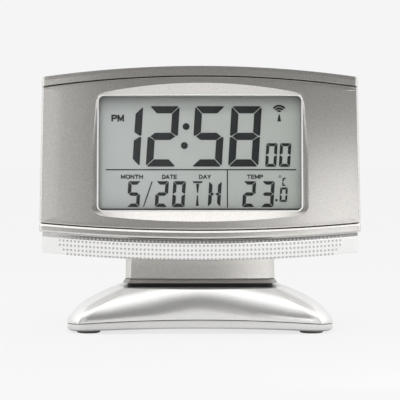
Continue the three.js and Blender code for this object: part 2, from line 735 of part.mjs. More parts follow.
function frontHousing() {
  const outer = bodySlab(frontAt, () => frontHousingBack, 0);
  const cavity = bodySlab(
    (x, halfWidth) => frontAt(x, halfWidth) + WALL,
    () => frontHousingBack + OVERRUN,
    WALL,
  );
  const bosses = mirrorPairs.map(([side, rise]) =>
    rodAlongY(side * housingScrewSide, rise * HOUSING_SCREW_RISE, bossRadius, [0, frontHousingBack]),
  );
  const boardBosses = sides.map((side) =>
    rodAlongY(side * boardScrewSide, 0, bossRadius, [0, boardFront - SEAT]),
  );
  const inside = cut(cavity, bezelBody(), ...bosses, ...boardBosses);
  const holes = mirrorPairs.map(([side, rise]) => {
    const x = side * housingScrewSide;
    const depth = [bow(x) + HOUSING_SCREW_STOP, headDepth];
    return rodAlongY(x, rise * HOUSING_SCREW_RISE, holeRadius, depth, HOLE_SIDES);
  });
  const boardHoles = sides.map((side) => {
    const x = side * boardScrewSide;
    return rodAlongY(x, 0, holeRadius, [bow(x) + BOARD_SCREW_STOP, headDepth], HOLE_SIDES);
  });
  return cut(outer, inside, windowCutter(), ...holes, ...boardHoles, ...pegHoles(), housingLeadHole());
}

// Rear housing with battery bay, key holes, slider slot, vents and sound holes
function rearShell() {
  return spanLoft(spanStations(bodyHalfWidth), (x) => {
    const top = bodyTop(x);
    const far = rearAt(x, bodyHalfWidth);
    return [
      [rearHousingFront, -top],
      [far - REAR_CHAMFER, -top],
      [far, -top + REAR_CHAMFER],
      [far, top - REAR_CHAMFER],
      [far - REAR_CHAMFER, top],
      [rearHousingFront, top],
    ];
  });
}

function aerialCradles() {
  const posts = sides.map((side) => {
    const x = (side * (FERRITE_LENGTH + COIL_LENGTH)) / 4;
    return block(
      around(x, CRADLE_THICKNESS),
      [aerialDepth - CRADLE_HOLD, headDepth],
      around(aerialRise, 2 * (FERRITE_RADIUS + CRADLE_MARGIN)),
    );
  });
  const channel = rodAlongX(aerialDepth, aerialRise, FERRITE_RADIUS + FIT, [-bodyHalfWidth, bodyHalfWidth]);
  return posts.map((post) => cut(post, channel));
}

function buzzerRing() {
  const outer = BUZZER_RADIUS + FIT + BUZZER_RING_WIDTH;
  const depth = [rearWallInside - BUZZER_RING_DEPTH, headDepth];
  return cut(
    rodAlongY(buzzerSide, buzzerRise, outer, depth, DISC_SIDES),
    rodAlongY(buzzerSide, buzzerRise, BUZZER_RADIUS + BUZZER_SPACE, [0, rearWallInside], DISC_SIDES),
  );
}

function rearCavity() {
  const cavity = bodySlab(
    () => rearHousingFront - OVERRUN,
    (x, halfWidth) => rearWallInside - cornerLoss(x, halfWidth, REAR_CORNER),
    WALL,
  );
  const bayShell = block(
    [-bayHalfLength - BAY_WALL, bayHalfLength + BAY_WALL],
    [bayFront, headDepth],
    [-bodyHalfHeight, bayTop + BAY_WALL],
  );
  const wells = mirrorPairs.map(([side, rise]) =>
    rodAlongY(
      side * housingScrewSide,
      rise * HOUSING_SCREW_RISE,
      headHoleRadius + SCREW_WELL_WALL,
      [rearHousingFront, headDepth],
    ),
  );
  return cut(cavity, bayShell, ...wells, ...aerialCradles(), buzzerRing());
}

const throughRearWall = [rearWallInside - OVERRUN, headDepth + OVERRUN];

function bayCutters() {
  const bay = block(
    [-bayHalfLength, bayHalfLength], [bayInside, headDepth + OVERRUN], [bayBottom, bayTop],
  );
  const doorway = plateAlongY(
    roundedOutline(
      doorHalfWidth + FIT, doorHalfHeight + FIT, DOOR_CORNER + FIT, DOOR_CORNER + FIT, CORNER_STEPS,
    ),
    [doorInside - SEAT, headDepth + OVERRUN],
    0,
    bayMiddle,
  );
  const tabSlots = [upperCell, lowerCell].map((z) =>
    block(
      [bayHalfLength - CONTACT_THICKNESS - 2 * SEAT - CELL_END_SPACE, bayHalfLength],
      [bayFront - OVERRUN, bayInside + OVERRUN],
      around(z, TAB_WIDTH + 2 * FIT),
    ),
  );
  return [bay, doorway, ...tabSlots];
}

function keyCutters() {
  const outline = roundedOutline(
    KEY_WIDTH / 2 + FIT, KEY_HEIGHT / 2 + FIT, KEY_CORNER + FIT, KEY_CORNER + FIT, CORNER_STEPS,
  );
  const holes = keyPlaces.map((x) => plateAlongY(outline, throughRearWall, x, keyRow));
  const slot = block(
    around(SLIDER_SIDE, SLIDER_STEM_WIDTH + SLIDER_TRAVEL + 2 * FIT),
    throughRearWall,
    around(keyRow, SLIDER_STEM_HEIGHT + 2 * FIT),
  );
  return [...holes, slot];
}

function ventCutters() {
  const outline = roundedOutline(VENT_LENGTH / 2, VENT_WIDTH / 2, VENT_CORNER, VENT_CORNER, 2);
  return Array.from({ length: VENT_COUNT }, (unused, k) => {
    const z = buzzerRise + (k - (VENT_COUNT - 1) / 2) * VENT_SPACING;
    return plateAlongY(outline, throughRearWall, sensorSide, z);
  });
}

function soundCutters() {
  const places = [[0, 0]];
  for (let k = 0; k < SOUND_HOLE_COUNT; k += 1) {
    const angle = (k / SOUND_HOLE_COUNT) * 2 * Math.PI;
    places.push([SOUND_HOLE_SPACING * Math.cos(angle), SOUND_HOLE_SPACING * Math.sin(angle)]);
  }
  return places.map(([x, z]) =>
    rodAlongY(buzzerSide + x, buzzerRise + z, SOUND_HOLE_RADIUS, throughRearWall, LEAD_SIDES),
  );
}

function housingScrewCutters() {
  return mirrorPairs.flatMap(([side, rise]) => {
    const x = side * housingScrewSide;
    const z = rise * HOUSING_SCREW_RISE;
    return [
      rodAlongY(x, z, headHoleRadius, [housingScrewSeat, headDepth + OVERRUN]),
      rodAlongY(x, z, holeRadius, [0, headDepth], HOLE_SIDES),
    ];
  });
}

function headScrewHoles([z0, z1]) {
  return sides.map((side) =>
    rodAlongZ(side * HEAD_SCREW_SPACING, neckMiddle, holeRadius, [z0, z1], HOLE_SIDES),
  );
}

function rearHousing() {
  return cut(
    rearShell(),
    rearCavity(),
    ...bayCutters(),
    ...keyCutters(),
    ...ventCutters(),
    ...soundCutters(),
    ...housingScrewCutters(),
    ...headScrewHoles([-bodyHalfHeight - OVERRUN, headScrewTip + FIT]),
    housingLeadHole(),
  );
}

// Trims: rise is 1 for the top and -1 for the bottom
function trimSection(x, rise, thickness) {
  const low = trimInside(x);
  const step = low + TRIM_TIER_HEIGHT;
  const high = low + thickness;
  const near = frontAt(x, bodyHalfWidth) - TRIM_REACH;
  const inset = near + TRIM_TIER_DEPTH;
  const far = rearAt(x, bodyHalfWidth);
  const corners = [
    [near + TRIM_EDGE, low],
    [far, low],
    [far, high - REAR_CHAMFER],
    [far - REAR_CHAMFER, high],
    [inset + TRIM_EDGE, high],
    [inset, high - TRIM_EDGE],
    [inset, step],
    [near, step - TRIM_EDGE],
    [near, low + TRIM_EDGE],
  ];
  return corners.map(([y, z]) => [y, rise * z]);
}

function trim(rise, thickness) {
  const outer = spanLoft(spanStations(bodyHalfWidth), (x) => trimSection(x, rise, thickness));
  const pocketHalf = bodyHalfWidth - 2 * TRIM_WALL;
  const pocket = spanLoft(spanStations(pocketHalf), (x) => {
    const low = trimInside(x) - OVERRUN;
    const high = trimInside(x) + thickness - TRIM_WALL;
    const near = bow(x) + 2 * TRIM_WALL;
    const far = rearAt(x, pocketHalf) - 2 * TRIM_WALL;
    return [[near, low], [far, low], [far, high], [near, high]].map(([y, z]) => [y, rise * z]);
  });
  const pegs = [-1, 0, 1].map((slot) => {
    const x = slot * PEG_SPACING;
    const ends = [bodyTop(x) - PEG_LENGTH, trimInside(x) + thickness - TRIM_WALL / 2];
    return rodAlongZ(x, PEG_DEPTH, PEG_RADIUS, ends.map((z) => rise * z), SCREW_SIDES);
  });
  return join(cut(outer, pocket), ...pegs);
}

function bottomTrim() {
  const below = -bottomTrimOutside(0) - OVERRUN;
  const slots = sides.map((side) => {
    const x = side * LUG_SPACING;
    const halfWay = LUG_LENGTH / 2 + FIT;
    return block(
      around(x, LUG_WIDTH + 2 * FIT),
      [LUG_DEPTH - halfWay, LUG_DEPTH + halfWay + BAR_TRAVEL],
      [below, -trimInside(x)],
    );
  });
  return cut(
    trim(-1, BOTTOM_TRIM_THICKNESS),
    ...slots,
    ...headScrewHoles([below, 0]),
    snoozeLeadHole(2 * FIT, [below, 0]),
  );
}

// Snooze bar: hollow channel open to the back, two headed lugs and the switch pusher
function barSection(x, inset) {
  const top = -barTop(x);
  const bottom = top - BAR_HEIGHT + inset;
  const near = bow(x) - TRIM_REACH / 2 + inset;
  const back = bow(x) + BAR_DEPTH + (inset > 0 ? OVERRUN : 0);
  const under = near + BAR_UNDERCUT_DEPTH;
  return [
    [back, top - inset],
    [near + BAR_SLOPE_DEPTH, top - inset],
    [near, top - BAR_SLOPE_HEIGHT],
    [under, bottom + BAR_LIP],
    [under + BAR_LIP, bottom],
    [back, bottom],
  ];
}

function snoozeLug(side) {
  const x = side * LUG_SPACING;
  const depth = around(LUG_DEPTH, LUG_LENGTH);
  const headLow = -bottomTrimOutside(LUG_SPACING + LUG_HEAD_WIDTH / 2) + TRIM_WALL + FIT;
  const armTop = -barTop(LUG_SPACING + LUG_WIDTH / 2) - FIT;
  const armLow = -barTop(x) - BAR_WALL;
  return join(
    block(around(x, LUG_WIDTH), [bow(x) + LUG_ARM_START, depth[1]], [armLow, armTop]),
    block(around(x, LUG_WIDTH), depth, [armLow + BAR_WALL / 2, headLow + LUG_HEAD_THICKNESS / 2]),
    block(around(x, LUG_HEAD_WIDTH), depth, [headLow, headLow + LUG_HEAD_THICKNESS]),
  );
}

function snoozeBar() {
  const outer = spanLoft(evenStations(barHalfWidth, SPAN_STEPS), (x) => barSection(x, 0));
  const inner = spanLoft(evenStations(barHalfWidth - BAR_WALL, SPAN_STEPS), (x) => barSection(x, BAR_WALL));
  const pusher = rodAlongY(0, snoozeRise, PUSHER_RADIUS, [BAR_WALL / 2, pusherTip]);
  return join(cut(outer, inner), ...sides.map(snoozeLug), pusher);
}

// Display stack
function lensPlate() {
  const outline = roundedOutline(lensHalfWidth, lensHalfHeight, LENS_CORNER, LENS_CORNER, 2);
  return plateAlongY(outline, [lensFront, lensFront + LENS_THICKNESS]);
}

function lcdCell() {
  const middle = lcdFront + LCD_THICKNESS / 2;
  const width = [-lensHalfWidth, lensHalfWidth];
  return join(
    block(width, [lcdFront, middle], [-lensHalfHeight + LCD_LEDGE, lensHalfHeight]),
    block(width, [middle, lcdBack], [-lensHalfHeight, lensHalfHeight]),
  );
}

function lcdHolder() {
  const outline = roundedOutline(holderHalfWidth, holderHalfHeight, HOLDER_CORNER, HOLDER_CORNER, 2);
  const open = block(
    [-holderOpenWidth, holderOpenWidth],
    [lensFront - OVERRUN, boardFront + OVERRUN],
    [-holderOpenHeight, holderOpenHeight],
  );
  return cut(plateAlongY(outline, [lensFront, boardFront - SEAT]), open);
}

const backlightDepth = [backlightFront, backlightFront + BACKLIGHT_THICKNESS];

function backlightPanel() {
  const half = lensHalfWidth - BACKLIGHT_MARGIN / 2;
  const low = -lensHalfHeight + BACKLIGHT_MARGIN + CONNECTOR_WIDTH;
  return block([-half, half], backlightDepth, [low, lensHalfHeight - BACKLIGHT_MARGIN / 2]);
}

function zebraStrip() {
  const half = lensHalfWidth - BACKLIGHT_MARGIN;
  const low = -lensHalfHeight + CONNECTOR_MARGIN;
  return block([-half, half], backlightDepth, [low, low + CONNECTOR_WIDTH]);
}

// Main board and what sits on its back
function mainBoard() {
  const through = [boardFront - OVERRUN, boardBack + OVERRUN];
  const board = block(
    [-boardHalfWidth, boardHalfWidth], [boardFront, boardBack], [-boardHalfHeight, boardHalfHeight],
  );
  const notches = mirrorPairs.map(([side, rise]) =>
    block(
      around(side * boardHalfWidth, 2 * BOARD_NOTCH_WIDTH),
      through,
      around(rise * boardHalfHeight, 2 * BOARD_NOTCH_HEIGHT),
    ),
  );
  const holes = sides.map((side) => rodAlongY(side * boardScrewSide, 0, holeRadius, through, HOLE_SIDES));
  return cut(board, ...notches, ...holes);
}

function chipBlob() {
  const shares = [[0, 0], [1, 0], [1, 0.2], [0.86, 0.62], [0.57, 0.9], [0, 1]];
  const profile = shares.map(([out, up]) => [CHIP_RADIUS * out, CHIP_HEIGHT * up]);
  return solid(turnedSolid(profile, ROD_SIDES).translate(CHIP_SIDE, boardSide, CHIP_ROW_RISE));
}

function quartzCrystal() {
  const width = around(CRYSTAL_SIDE, CRYSTAL_LENGTH);
  return rodAlongX(boardSide + CRYSTAL_RADIUS, CHIP_ROW_RISE, CRYSTAL_RADIUS, width, HOLE_SIDES);
}

function keypadMat() {
  const middle = (keyPlaces[0] + keyPlaces[KEY_COUNT - 1]) / 2;
  const halfWidth = ((KEY_COUNT - 1) * KEY_SPACING) / 2 + DOME_RADIUS + MAT_MARGIN;
  const outline = roundedOutline(halfWidth, DOME_RADIUS + MAT_MARGIN, MAT_CORNER, MAT_CORNER, 2);
  const sheet = plateAlongY(outline, [boardSide, boardSide + MAT_THICKNESS], middle, keyRow);
  const domes = keyPlaces.map((x) =>
    rodAlongY(x, keyRow, DOME_RADIUS, [boardSide + MAT_THICKNESS / 2, domeTop], HOLE_SIDES, DOME_TOP_RADIUS),
  );
  return join(sheet, ...domes);
}

function temperatureSensor() {
  const depth = boardSide + SENSOR_RADIUS;
  return rodAlongZ(sensorSide, depth, SENSOR_RADIUS, around(buzzerRise, SENSOR_LENGTH), HOLE_SIDES);
}

function antennaCoil() {
  return cut(
    rodAlongX(aerialDepth, aerialRise, COIL_RADIUS, around(0, COIL_LENGTH), DISC_SIDES),
    rodAlongX(aerialDepth, aerialRise, FERRITE_RADIUS + FIT, around(0, 2 * COIL_LENGTH)),
  );
}

function buzzerDisc() {
  const back = rearWallInside - FIT;
  return rodAlongY(buzzerSide, buzzerRise, BUZZER_RADIUS, [back - BUZZER_THICKNESS, back], DISC_SIDES);
}

// Keys and slider
const flangeDepth = [rearWallInside - FIT - KEY_FLANGE_THICKNESS, rearWallInside - FIT];
const flangeMiddle = (flangeDepth[0] + flangeDepth[1]) / 2;

function rearKey(x) {
  const outline = roundedOutline(KEY_WIDTH / 2, KEY_HEIGHT / 2, KEY_CORNER, KEY_CORNER, CORNER_STEPS);
  const cap = plateAlongY(outline, [flangeMiddle, headDepth + KEY_PROUD], x, keyRow);
  const flange = block(
    around(x, KEY_WIDTH + 2 * KEY_FLANGE_WIDTH),
    flangeDepth,
    around(keyRow, KEY_HEIGHT + 2 * KEY_FLANGE_WIDTH),
  );
  const stem = rodAlongY(x, keyRow, KEY_STEM_RADIUS, [domeTop + KEY_TRAVEL + FIT, flangeMiddle]);
  return join(cap, flange, stem);
}

function slideSwitch() {
  const way = SLIDER_STEM_WIDTH + SLIDER_TRAVEL;
  const body = block(
    around(SLIDER_SIDE, way + 2 * SLIDE_SWITCH_MARGIN),
    [boardSide, slideSwitchTop],
    around(keyRow, SLIDE_SWITCH_HEIGHT),
  );
  const groove = block(
    around(SLIDER_SIDE, way + 2 * FIT),
    [slideSwitchTop - SLIDE_SWITCH_GROOVE, slideSwitchTop + OVERRUN],
    around(keyRow, SLIDER_STEM_HEIGHT + 2 * FIT),
  );
  return cut(body, groove);
}

function alarmSlider() {
  const x = SLIDER_SIDE - SLIDER_TRAVEL / 2;
  const width = around(x, SLIDER_WIDTH);
  const height = around(keyRow, SLIDER_HEIGHT);
  const inner = headDepth + FIT;
  const outer = inner + SLIDER_PROUD;
  const grooves = [-1, 0, 1].map((step) =>
    block(
      around(x + step * SLIDER_GROOVE_SPACING, SLIDER_GROOVE_WIDTH),
      [outer - SLIDER_GROOVE_DEPTH, outer + OVERRUN],
      around(keyRow, 2 * SLIDER_HEIGHT),
    ),
  );
  const stem = block(
    around(x, SLIDER_STEM_WIDTH),
    [slideSwitchTop - SLIDE_SWITCH_GROOVE / 2, inner + SLIDER_PROUD / 2],
    around(keyRow, SLIDER_STEM_HEIGHT),
  );
  return join(cut(block(width, [inner, outer], height), ...grooves), stem, block(width, flangeDepth, height));
}

// Battery door with a sprung latch tongue and grip grooves
function batteryDoor() {
  const outline = roundedOutline(doorHalfWidth, doorHalfHeight, DOOR_CORNER, DOOR_CORNER, CORNER_STEPS);
  const plate = plateAlongY(outline, [doorInside, headDepth], 0, bayMiddle);
  const top = bayMiddle + doorHalfHeight;
  const slots = sides.map((side) =>
    block(
      around((side * LATCH_WIDTH) / 2, LATCH_SLOT_WIDTH),
      [doorInside - OVERRUN, headDepth + OVERRUN],
      [top - LATCH_LENGTH, top + OVERRUN],
    ),
  );
  const grooves = Array.from({ length: DOOR_GROOVES }, (unused, k) =>
    block(
      around(0, DOOR_GROOVE_LENGTH),
      [headDepth - DOOR_GROOVE_DEPTH, headDepth + OVERRUN],
      around(top - (k + 1) * DOOR_GROOVE_SPACING, DOOR_GROOVE_WIDTH),
    ),
  );
  return cut(plate, ...slots, ...grooves);
}

// Battery cells and contacts. The upper cell points right and the lower cell left.
function batteryCell(direction, z) {
  const half = CELL_LENGTH / 2;
  const radius = CELL_DIAMETER / 2;
  const profile = [
    [0, -half],
    [radius - CELL_EDGE_WIDTH, -half],
    [radius, -half + CELL_EDGE_LENGTH],
    [radius, half - CELL_EDGE_LENGTH],
    [radius - CELL_EDGE_WIDTH, half],
    [NUB_RADIUS, half],
    [NUB_RADIUS, half + NUB_LENGTH],
    [0, half + NUB_LENGTH],
  ];
  const geometry = turnedSolid(profile, ROD_SIDES).rotateZ((-direction * Math.PI) / 2);
  return solid(geometry.translate(direction * cellShift, cellDepth, z));
}

function coilSpring(side, z) {
  const steps = Math.round(SPRING_TURNS * SPRING_STEPS);
  const climb = SPRING_LENGTH - SPRING_WIRE_RADIUS - CELL_END_SPACE;
  const frames = Array.from({ length: steps + 1 }, (unused, i) => {
    const share = i / steps;
    const angle = share * SPRING_TURNS * 2 * Math.PI;
    const radius = THREE.MathUtils.lerp(SPRING_WIDE_RADIUS, SPRING_NARROW_RADIUS, share);
    const first = new THREE.Vector3(0, Math.cos(angle), Math.sin(angle));
    const middle = new THREE.Vector3(side * (springStart - climb * share), cellDepth, z);
    return { middle: middle.addScaledVector(first, radius), first, second: new THREE.Vector3(side, 0, 0) };
  });
  return wire(frames, SPRING_WIRE_RADIUS, WIRE_SIDES);
}

const contactWidth = (side) => [side * springStart, side * (bayHalfLength - SEAT)];

function contactPlate(side, z, height) {
  return block(contactWidth(side), around(cellDepth, CONTACT_WIDTH), around(z, height));
}

function contactTab(z) {
  return block(contactWidth(1), [bayFront - TAB_LENGTH, cellDepth], around(z, TAB_WIDTH));
}

function contactBridge() {
  return join(contactPlate(-1, bayMiddle, CELL_DIAMETER + CONTACT_WIDTH), coilSpring(-1, upperCell));
}

function contactPositive() {
  return join(contactPlate(1, upperCell, CONTACT_WIDTH), contactTab(upperCell));
}

function contactNegative() {
  return join(contactPlate(1, lowerCell, CONTACT_WIDTH), contactTab(lowerCell), coilSpring(1, lowerCell));
}

// Lead from beside a contact tab to the back of the board
function batteryLead(z, end) {
  const depth = boardBack + BOARD_CLEARANCE / 2;
  const start = springStart - 2 * SEAT - LEAD_RADIUS;
  const points = [
    [start, depth, z - TAB_WIDTH / 2],
    [start, depth, z + TAB_WIDTH],
    [start - LEAD_BEND, depth, z + LEAD_BEND],
    [end, depth, z + LEAD_BEND],
    [end - LEAD_TAIL, boardSide + LEAD_RADIUS, z + LEAD_BEND],
  ];
  return cable(points, LEAD_RADIUS);
}

// Snooze switch, its board and its lead up into the head
function snoozeBoard() {
  return block(
    around(0, SNOOZE_BOARD_WIDTH),
    [snoozeBoardFront, snoozeBoardFront + BOARD_THICKNESS],
    [snoozeRise - SNOOZE_BOARD_BELOW, snoozeRise + SNOOZE_BOARD_ABOVE],
  );
}

function snoozeSwitch() {
  const top = snoozeRise + SNOOZE_PLUNGER_RADIUS + FIT;
  const body = block(
    around(0, SNOOZE_SWITCH_WIDTH), [snoozeSwitchFront, snoozeSwitchBack], [top - SNOOZE_SWITCH_HEIGHT, top],
  );
  const root = snoozeSwitchFront + SNOOZE_PLUNGER_ROOT;
  return join(body, rodAlongY(0, snoozeRise, SNOOZE_PLUNGER_RADIUS, [plungerTip, root]));
}

function snoozeLead() {
  const start = snoozeBoardFront - SEAT - SNOOZE_LEAD_RADIUS;
  const top = -bodyHalfHeight + SNOOZE_LEAD_LENGTH;
  const points = [
    [start, snoozeRise - LEAD_TAIL],
    [start, snoozeRise - LEAD_RADIUS],
    [leadDepth + FIT, neckLid - LEAD_RADIUS],
    [leadDepth, neckLid + NECK_LID],
    [leadDepth, top - LEAD_BEND],
    [leadDepth, top],
  ];
  return cable(points.map(([y, z]) => [SNOOZE_LEAD_SIDE, y, z]), SNOOZE_LEAD_RADIUS);
}

// Neck, built in the head's frame and cut level at its foot
function chamferedOutline(halfWidth, halfDepth, middle) {
  const shortWidth = halfWidth - NECK_CHAMFER_SIDE;
  const shortDepth = halfDepth - NECK_CHAMFER_FRONT;
  return [
    [halfWidth, shortDepth], [shortWidth, halfDepth], [-shortWidth, halfDepth], [-halfWidth, shortDepth],
    [-halfWidth, -shortDepth], [-shortWidth, -halfDepth], [shortWidth, -halfDepth], [halfWidth, -shortDepth],
  ].map(([x, y]) => new THREE.Vector2(x, middle + y));
}

function neckTube() {
  const high = -bodyHalfHeight;
  const low = footLocal - neckHalfDepth;
  const grow = NECK_DRAFT * (high - low);
  const column = (inset, top) => {
    const outlineAt = (extra) =>
      chamferedOutline(neckHalfWidth - inset + extra, neckHalfDepth - inset, neckMiddle);
    return solid(levelGeometry([[outlineAt(0), top], [outlineAt(grow), low]]));
  };
  return cut(column(0, high), column(NECK_WALL, neckLid));
}

function neckColumn() {
  const seatCutter = spanLoft(evenStations(barHalfWidth, SPAN_STEPS), (x) => {
    const seat = -bottomTrimOutside(x) - FIT;
    return [[-OVERRUN, seat], [2 * headDepth, seat], [2 * headDepth, 0], [-OVERRUN, 0]];
  });
  const pushHole = rodAlongY(0, snoozeRise, PUSHER_RADIUS + FIT, [0, neckMiddle]);
  const posts = sides.map((side) =>
    rodAlongY(
      side * (SNOOZE_BOARD_WIDTH / 2 - SNOOZE_POST_INSET),
      snoozeRise,
      SNOOZE_POST_RADIUS,
      [neckFrontInside - NECK_WALL / 2, snoozeBoardFront - SEAT],
      HOLE_SIDES,
    ),
  );
  const local = cut(
    join(neckTube(), ...posts),
    seatCutter,
    pushHole,
    ...headScrewHoles([neckLid - OVERRUN, 0]),
    snoozeLeadHole(2 * FIT, [neckLid - OVERRUN, 0]),
  );
  const placed = solid(surface(local).applyMatrix4(headPlace));
  const below = block(around(0, BASE_WIDTH), around(0, BASE_DEPTH), [-BASE_HEIGHT, neckFoot]);
  const lidHeight = new THREE.Vector3(0, neckMiddle, neckLid).applyMatrix4(headPlace).z + NECK_LID / 2;
  const bosses = sides.map((side) =>
    rodAlongZ(side * NECK_SCREW_SPACING, 0, neckBossRadius, [plinthTop + SEAT, lidHeight]),
  );
  const bossHoles = sides.map((side) =>
    rodAlongZ(side * NECK_SCREW_SPACING, 0, holeRadius, [0, neckScrewTip + FIT], HOLE_SIDES),
  );
  return cut(join(cut(placed, below), ...bosses), ...bossHoles);
}

function neckCollar() {
  const outer = levelGeometry([
    [chamferedOutline(collarHalfWidth, collarHalfDepth, 0), collarBottom],
    [chamferedOutline(collarHalfWidth - COLLAR_TAPER, collarHalfDepth - COLLAR_TAPER, 0), collarTop],
  ]);
  const openDepth = neckBossRadius + FIT + COLLAR_SPACE;
  const openWidth = NECK_SCREW_SPACING + openDepth;
  const opening = block([-openWidth, openWidth], [-openDepth, openDepth], [0, collarTop + OVERRUN]);
  return cut(solid(outer), opening);
}

// Base: outline at height z, narrowing to the shoulder under the collar
function baseOutline(z, inset) {
  const shareAt = (start) => THREE.MathUtils.clamp((z - start) / (BASE_HEIGHT - start), 0, 1);
  const side = shareAt(partingLine(baseHalfWidth));
  const front = shareAt(partingLine(0));
  const { lerp } = THREE.MathUtils;
  const halfWidth = lerp(shoulderHalfWidth, baseHalfWidth, 1 - side ** BASE_SIDE_CURVE);
  const halfDepth = lerp(shoulderHalfDepth, baseHalfDepth, Math.sqrt(1 - front ** BASE_FRONT_CURVE));
  const cornerWidth = lerp(BASE_CORNER_SIDE, SHOULDER_CORNER, side);
  const cornerDepth = lerp(BASE_CORNER_FRONT, SHOULDER_CORNER, side);
  return roundedOutline(halfWidth - inset, halfDepth - inset, cornerWidth, cornerDepth, BASE_CORNER_STEPS);
}

function baseDome(inset, top) {
  const start = partingLine(baseHalfWidth);
  const levels = [[baseOutline(0, inset), -BASE_HEIGHT]];
  for (let k = 0; k <= BASE_LEVELS; k += 1) {
    const share = k / BASE_LEVELS;
    const z = start + (BASE_HEIGHT - start) * Math.sin((share * Math.PI) / 2);
    levels.push([baseOutline(z, inset), z - (BASE_HEIGHT - top) * share]);
  }
  return solid(levelGeometry(levels));
}

function archSlab(low, high) {
  const near = -baseHalfDepth - OVERRUN;
  const far = baseHalfDepth + OVERRUN;
  const section = (x) => [[near, low(x)], [far, low(x)], [far, high(x)], [near, high(x)]];
  return spanLoft(evenStations(baseHalfWidth + OVERRUN, SPAN_STEPS), section, 0);
}

function baseScrewRods(radius, [z0, z1], facets) {
  return mirrorPairs.map(([side, front]) =>
    rodAlongZ(
      side * BASE_SCREW_SPACING_SIDE, front * BASE_SCREW_SPACING_FRONT, radius, [z0, z1], facets,
    ),
  );
}

function baseCover() {
  const bosses = baseScrewRods(bossRadius, [-BASE_HEIGHT, BASE_HEIGHT]);
  const hollow = cut(baseDome(BASE_SHELL, shoulderInside), ...bosses);
  const plinth = plateAlongZ(
    roundedOutline(
      collarHalfWidth - PLINTH_INSET, collarHalfDepth - PLINTH_INSET, SHOULDER_CORNER, SHOULDER_CORNER,
      CORNER_STEPS,
    ),
    [BASE_HEIGHT - BASE_SHELL / 2, plinthTop],
  );
  const shell = join(cut(baseDome(0, BASE_HEIGHT), hollow), plinth);
  const neckHoles = sides.map((side) =>
    rodAlongZ(side * NECK_SCREW_SPACING, 0, holeRadius, [0, plinthTop + OVERRUN], HOLE_SIDES),
  );
  return cut(
    common(shell, archSlab(partingLine, () => plinthTop + OVERRUN)),
    ...neckHoles,
    ...baseScrewRods(holeRadius, [-BASE_HEIGHT, baseScrewTip + FIT], HOLE_SIDES),
  );
}

function basePlate() {
  const slab = levelGeometry([
    [baseOutline(0, PLATE_INSET + PLATE_DRAFT), -BASE_HEIGHT],
    [baseOutline(0, PLATE_INSET), partingLine(0)],
  ]);
  const band = archSlab(underside, (x) => partingLine(x) - PARTING_GAP);
  const recesses = mirrorPairs.map(([side, front]) =>
    rodAlongZ(side * footSide, front * footFront, FOOT_RADIUS + FIT, [-footTop, footTop + SEAT], DISC_SIDES),
  );
  return cut(
    common(solid(slab), band),
    ...recesses,
    ...baseScrewRods(holeRadius, [-BASE_HEIGHT, BASE_HEIGHT], HOLE_SIDES),
    ...baseScrewRods(headHoleRadius, [-BASE_HEIGHT, baseScrewSeat]),
  );
}

function rubberFoot(side, front) {
  const profile = [
    [0, 0],
    [FOOT_RADIUS - FOOT_EDGE, 0],
    [FOOT_RADIUS, FOOT_EDGE],
    [FOOT_RADIUS, footTop],
    [0, footTop],
  ];
  const geometry = turnedSolid(profile, DISC_SIDES).rotateX(Math.PI / 2);
  return solid(geometry.translate(side * footSide, front * footFront, 0));
}

// A pan-head screw along Y, its seat at zero; those that show have a cross recess
function screwBody(length, slotted) {
  const profile = [
    [0, -length],
    [SCREW_RADIUS, -length + SCREW_POINT_LENGTH],
    [SCREW_RADIUS, 0],
    [SCREW_HEAD_RADIUS, 0],
    [SCREW_HEAD_TOP_RADIUS, SCREW_HEAD_HEIGHT],
    [0, SCREW_HEAD_HEIGHT],
  ];
  const body = solid(turnedSolid(profile, SCREW_SIDES));
  const depth = [SCREW_HEAD_HEIGHT - SCREW_SLOT_DEPTH, SCREW_HEAD_HEIGHT + OVERRUN];
  const [long, short] = [around(0, SCREW_SLOT_LENGTH), around(0, SCREW_SLOT_WIDTH)];
  return surface(slotted ? cut(body, block(long, depth, short), block(short, depth, long)) : body);
}

// Screw driven from the back of the head towards the front
function screwForward(x, z, seat, tip, slotted) {
  return screwBody(seat - tip, slotted).translate(x, seat + SEAT, z);
}

// Screw driven upwards
function screwUpward(x, y, seat, tip, slotted) {
  return screwBody(tip - seat, slotted).rotateX(-Math.PI / 2).translate(x, y, seat - SEAT);
}

// Assembly
function group(name, parent) {
  const made = new THREE.Group();
  made.name = name;
  if (parent) {
    parent.add(made);
  }
  return made;
}

function place(parent, name, form, finish) {
  const geometry = form.isBufferGeometry ? form : surface(form);
  const mesh = new THREE.Mesh(geometry, new THREE.MeshStandardMaterial(FINISH[finish]));
  mesh.name = name;
  parent.add(mesh);
}

const clock = group("digital_alarm_clock");
const head = group("head", clock);
head.position.set(0, headForward, headHeight);
head.rotation.x = -tilt;
const display = group("display", head);
display.position.z = WINDOW_RISE;

place(clock, "base_plate", basePlate(), "baseSilver");
place(clock, "base_cover", baseCover(), "baseSilver");
place(clock, "neck_collar", neckCollar(), "collarGrey");
place(clock, "neck", neckColumn(), "silver");

const footNames = ["foot_front_left", "foot_front_right", "foot_rear_left", "foot_rear_right"];
mirrorPairs.forEach(([side, front], index) => {
  place(clock, footNames[index], rubberFoot(side, front), "rubber");
  const x = side * BASE_SCREW_SPACING_SIDE;
  const y = front * BASE_SCREW_SPACING_FRONT;
  place(clock, `base_screw_${index + 1}`, screwUpward(x, y, baseScrewSeat, baseScrewTip, true), "steel");
});
sides.forEach((side, index) => {
  const x = side * NECK_SCREW_SPACING;
  place(clock, `neck_screw_${index + 1}`, screwUpward(x, 0, shoulderInside, neckScrewTip, false), "steel");
});

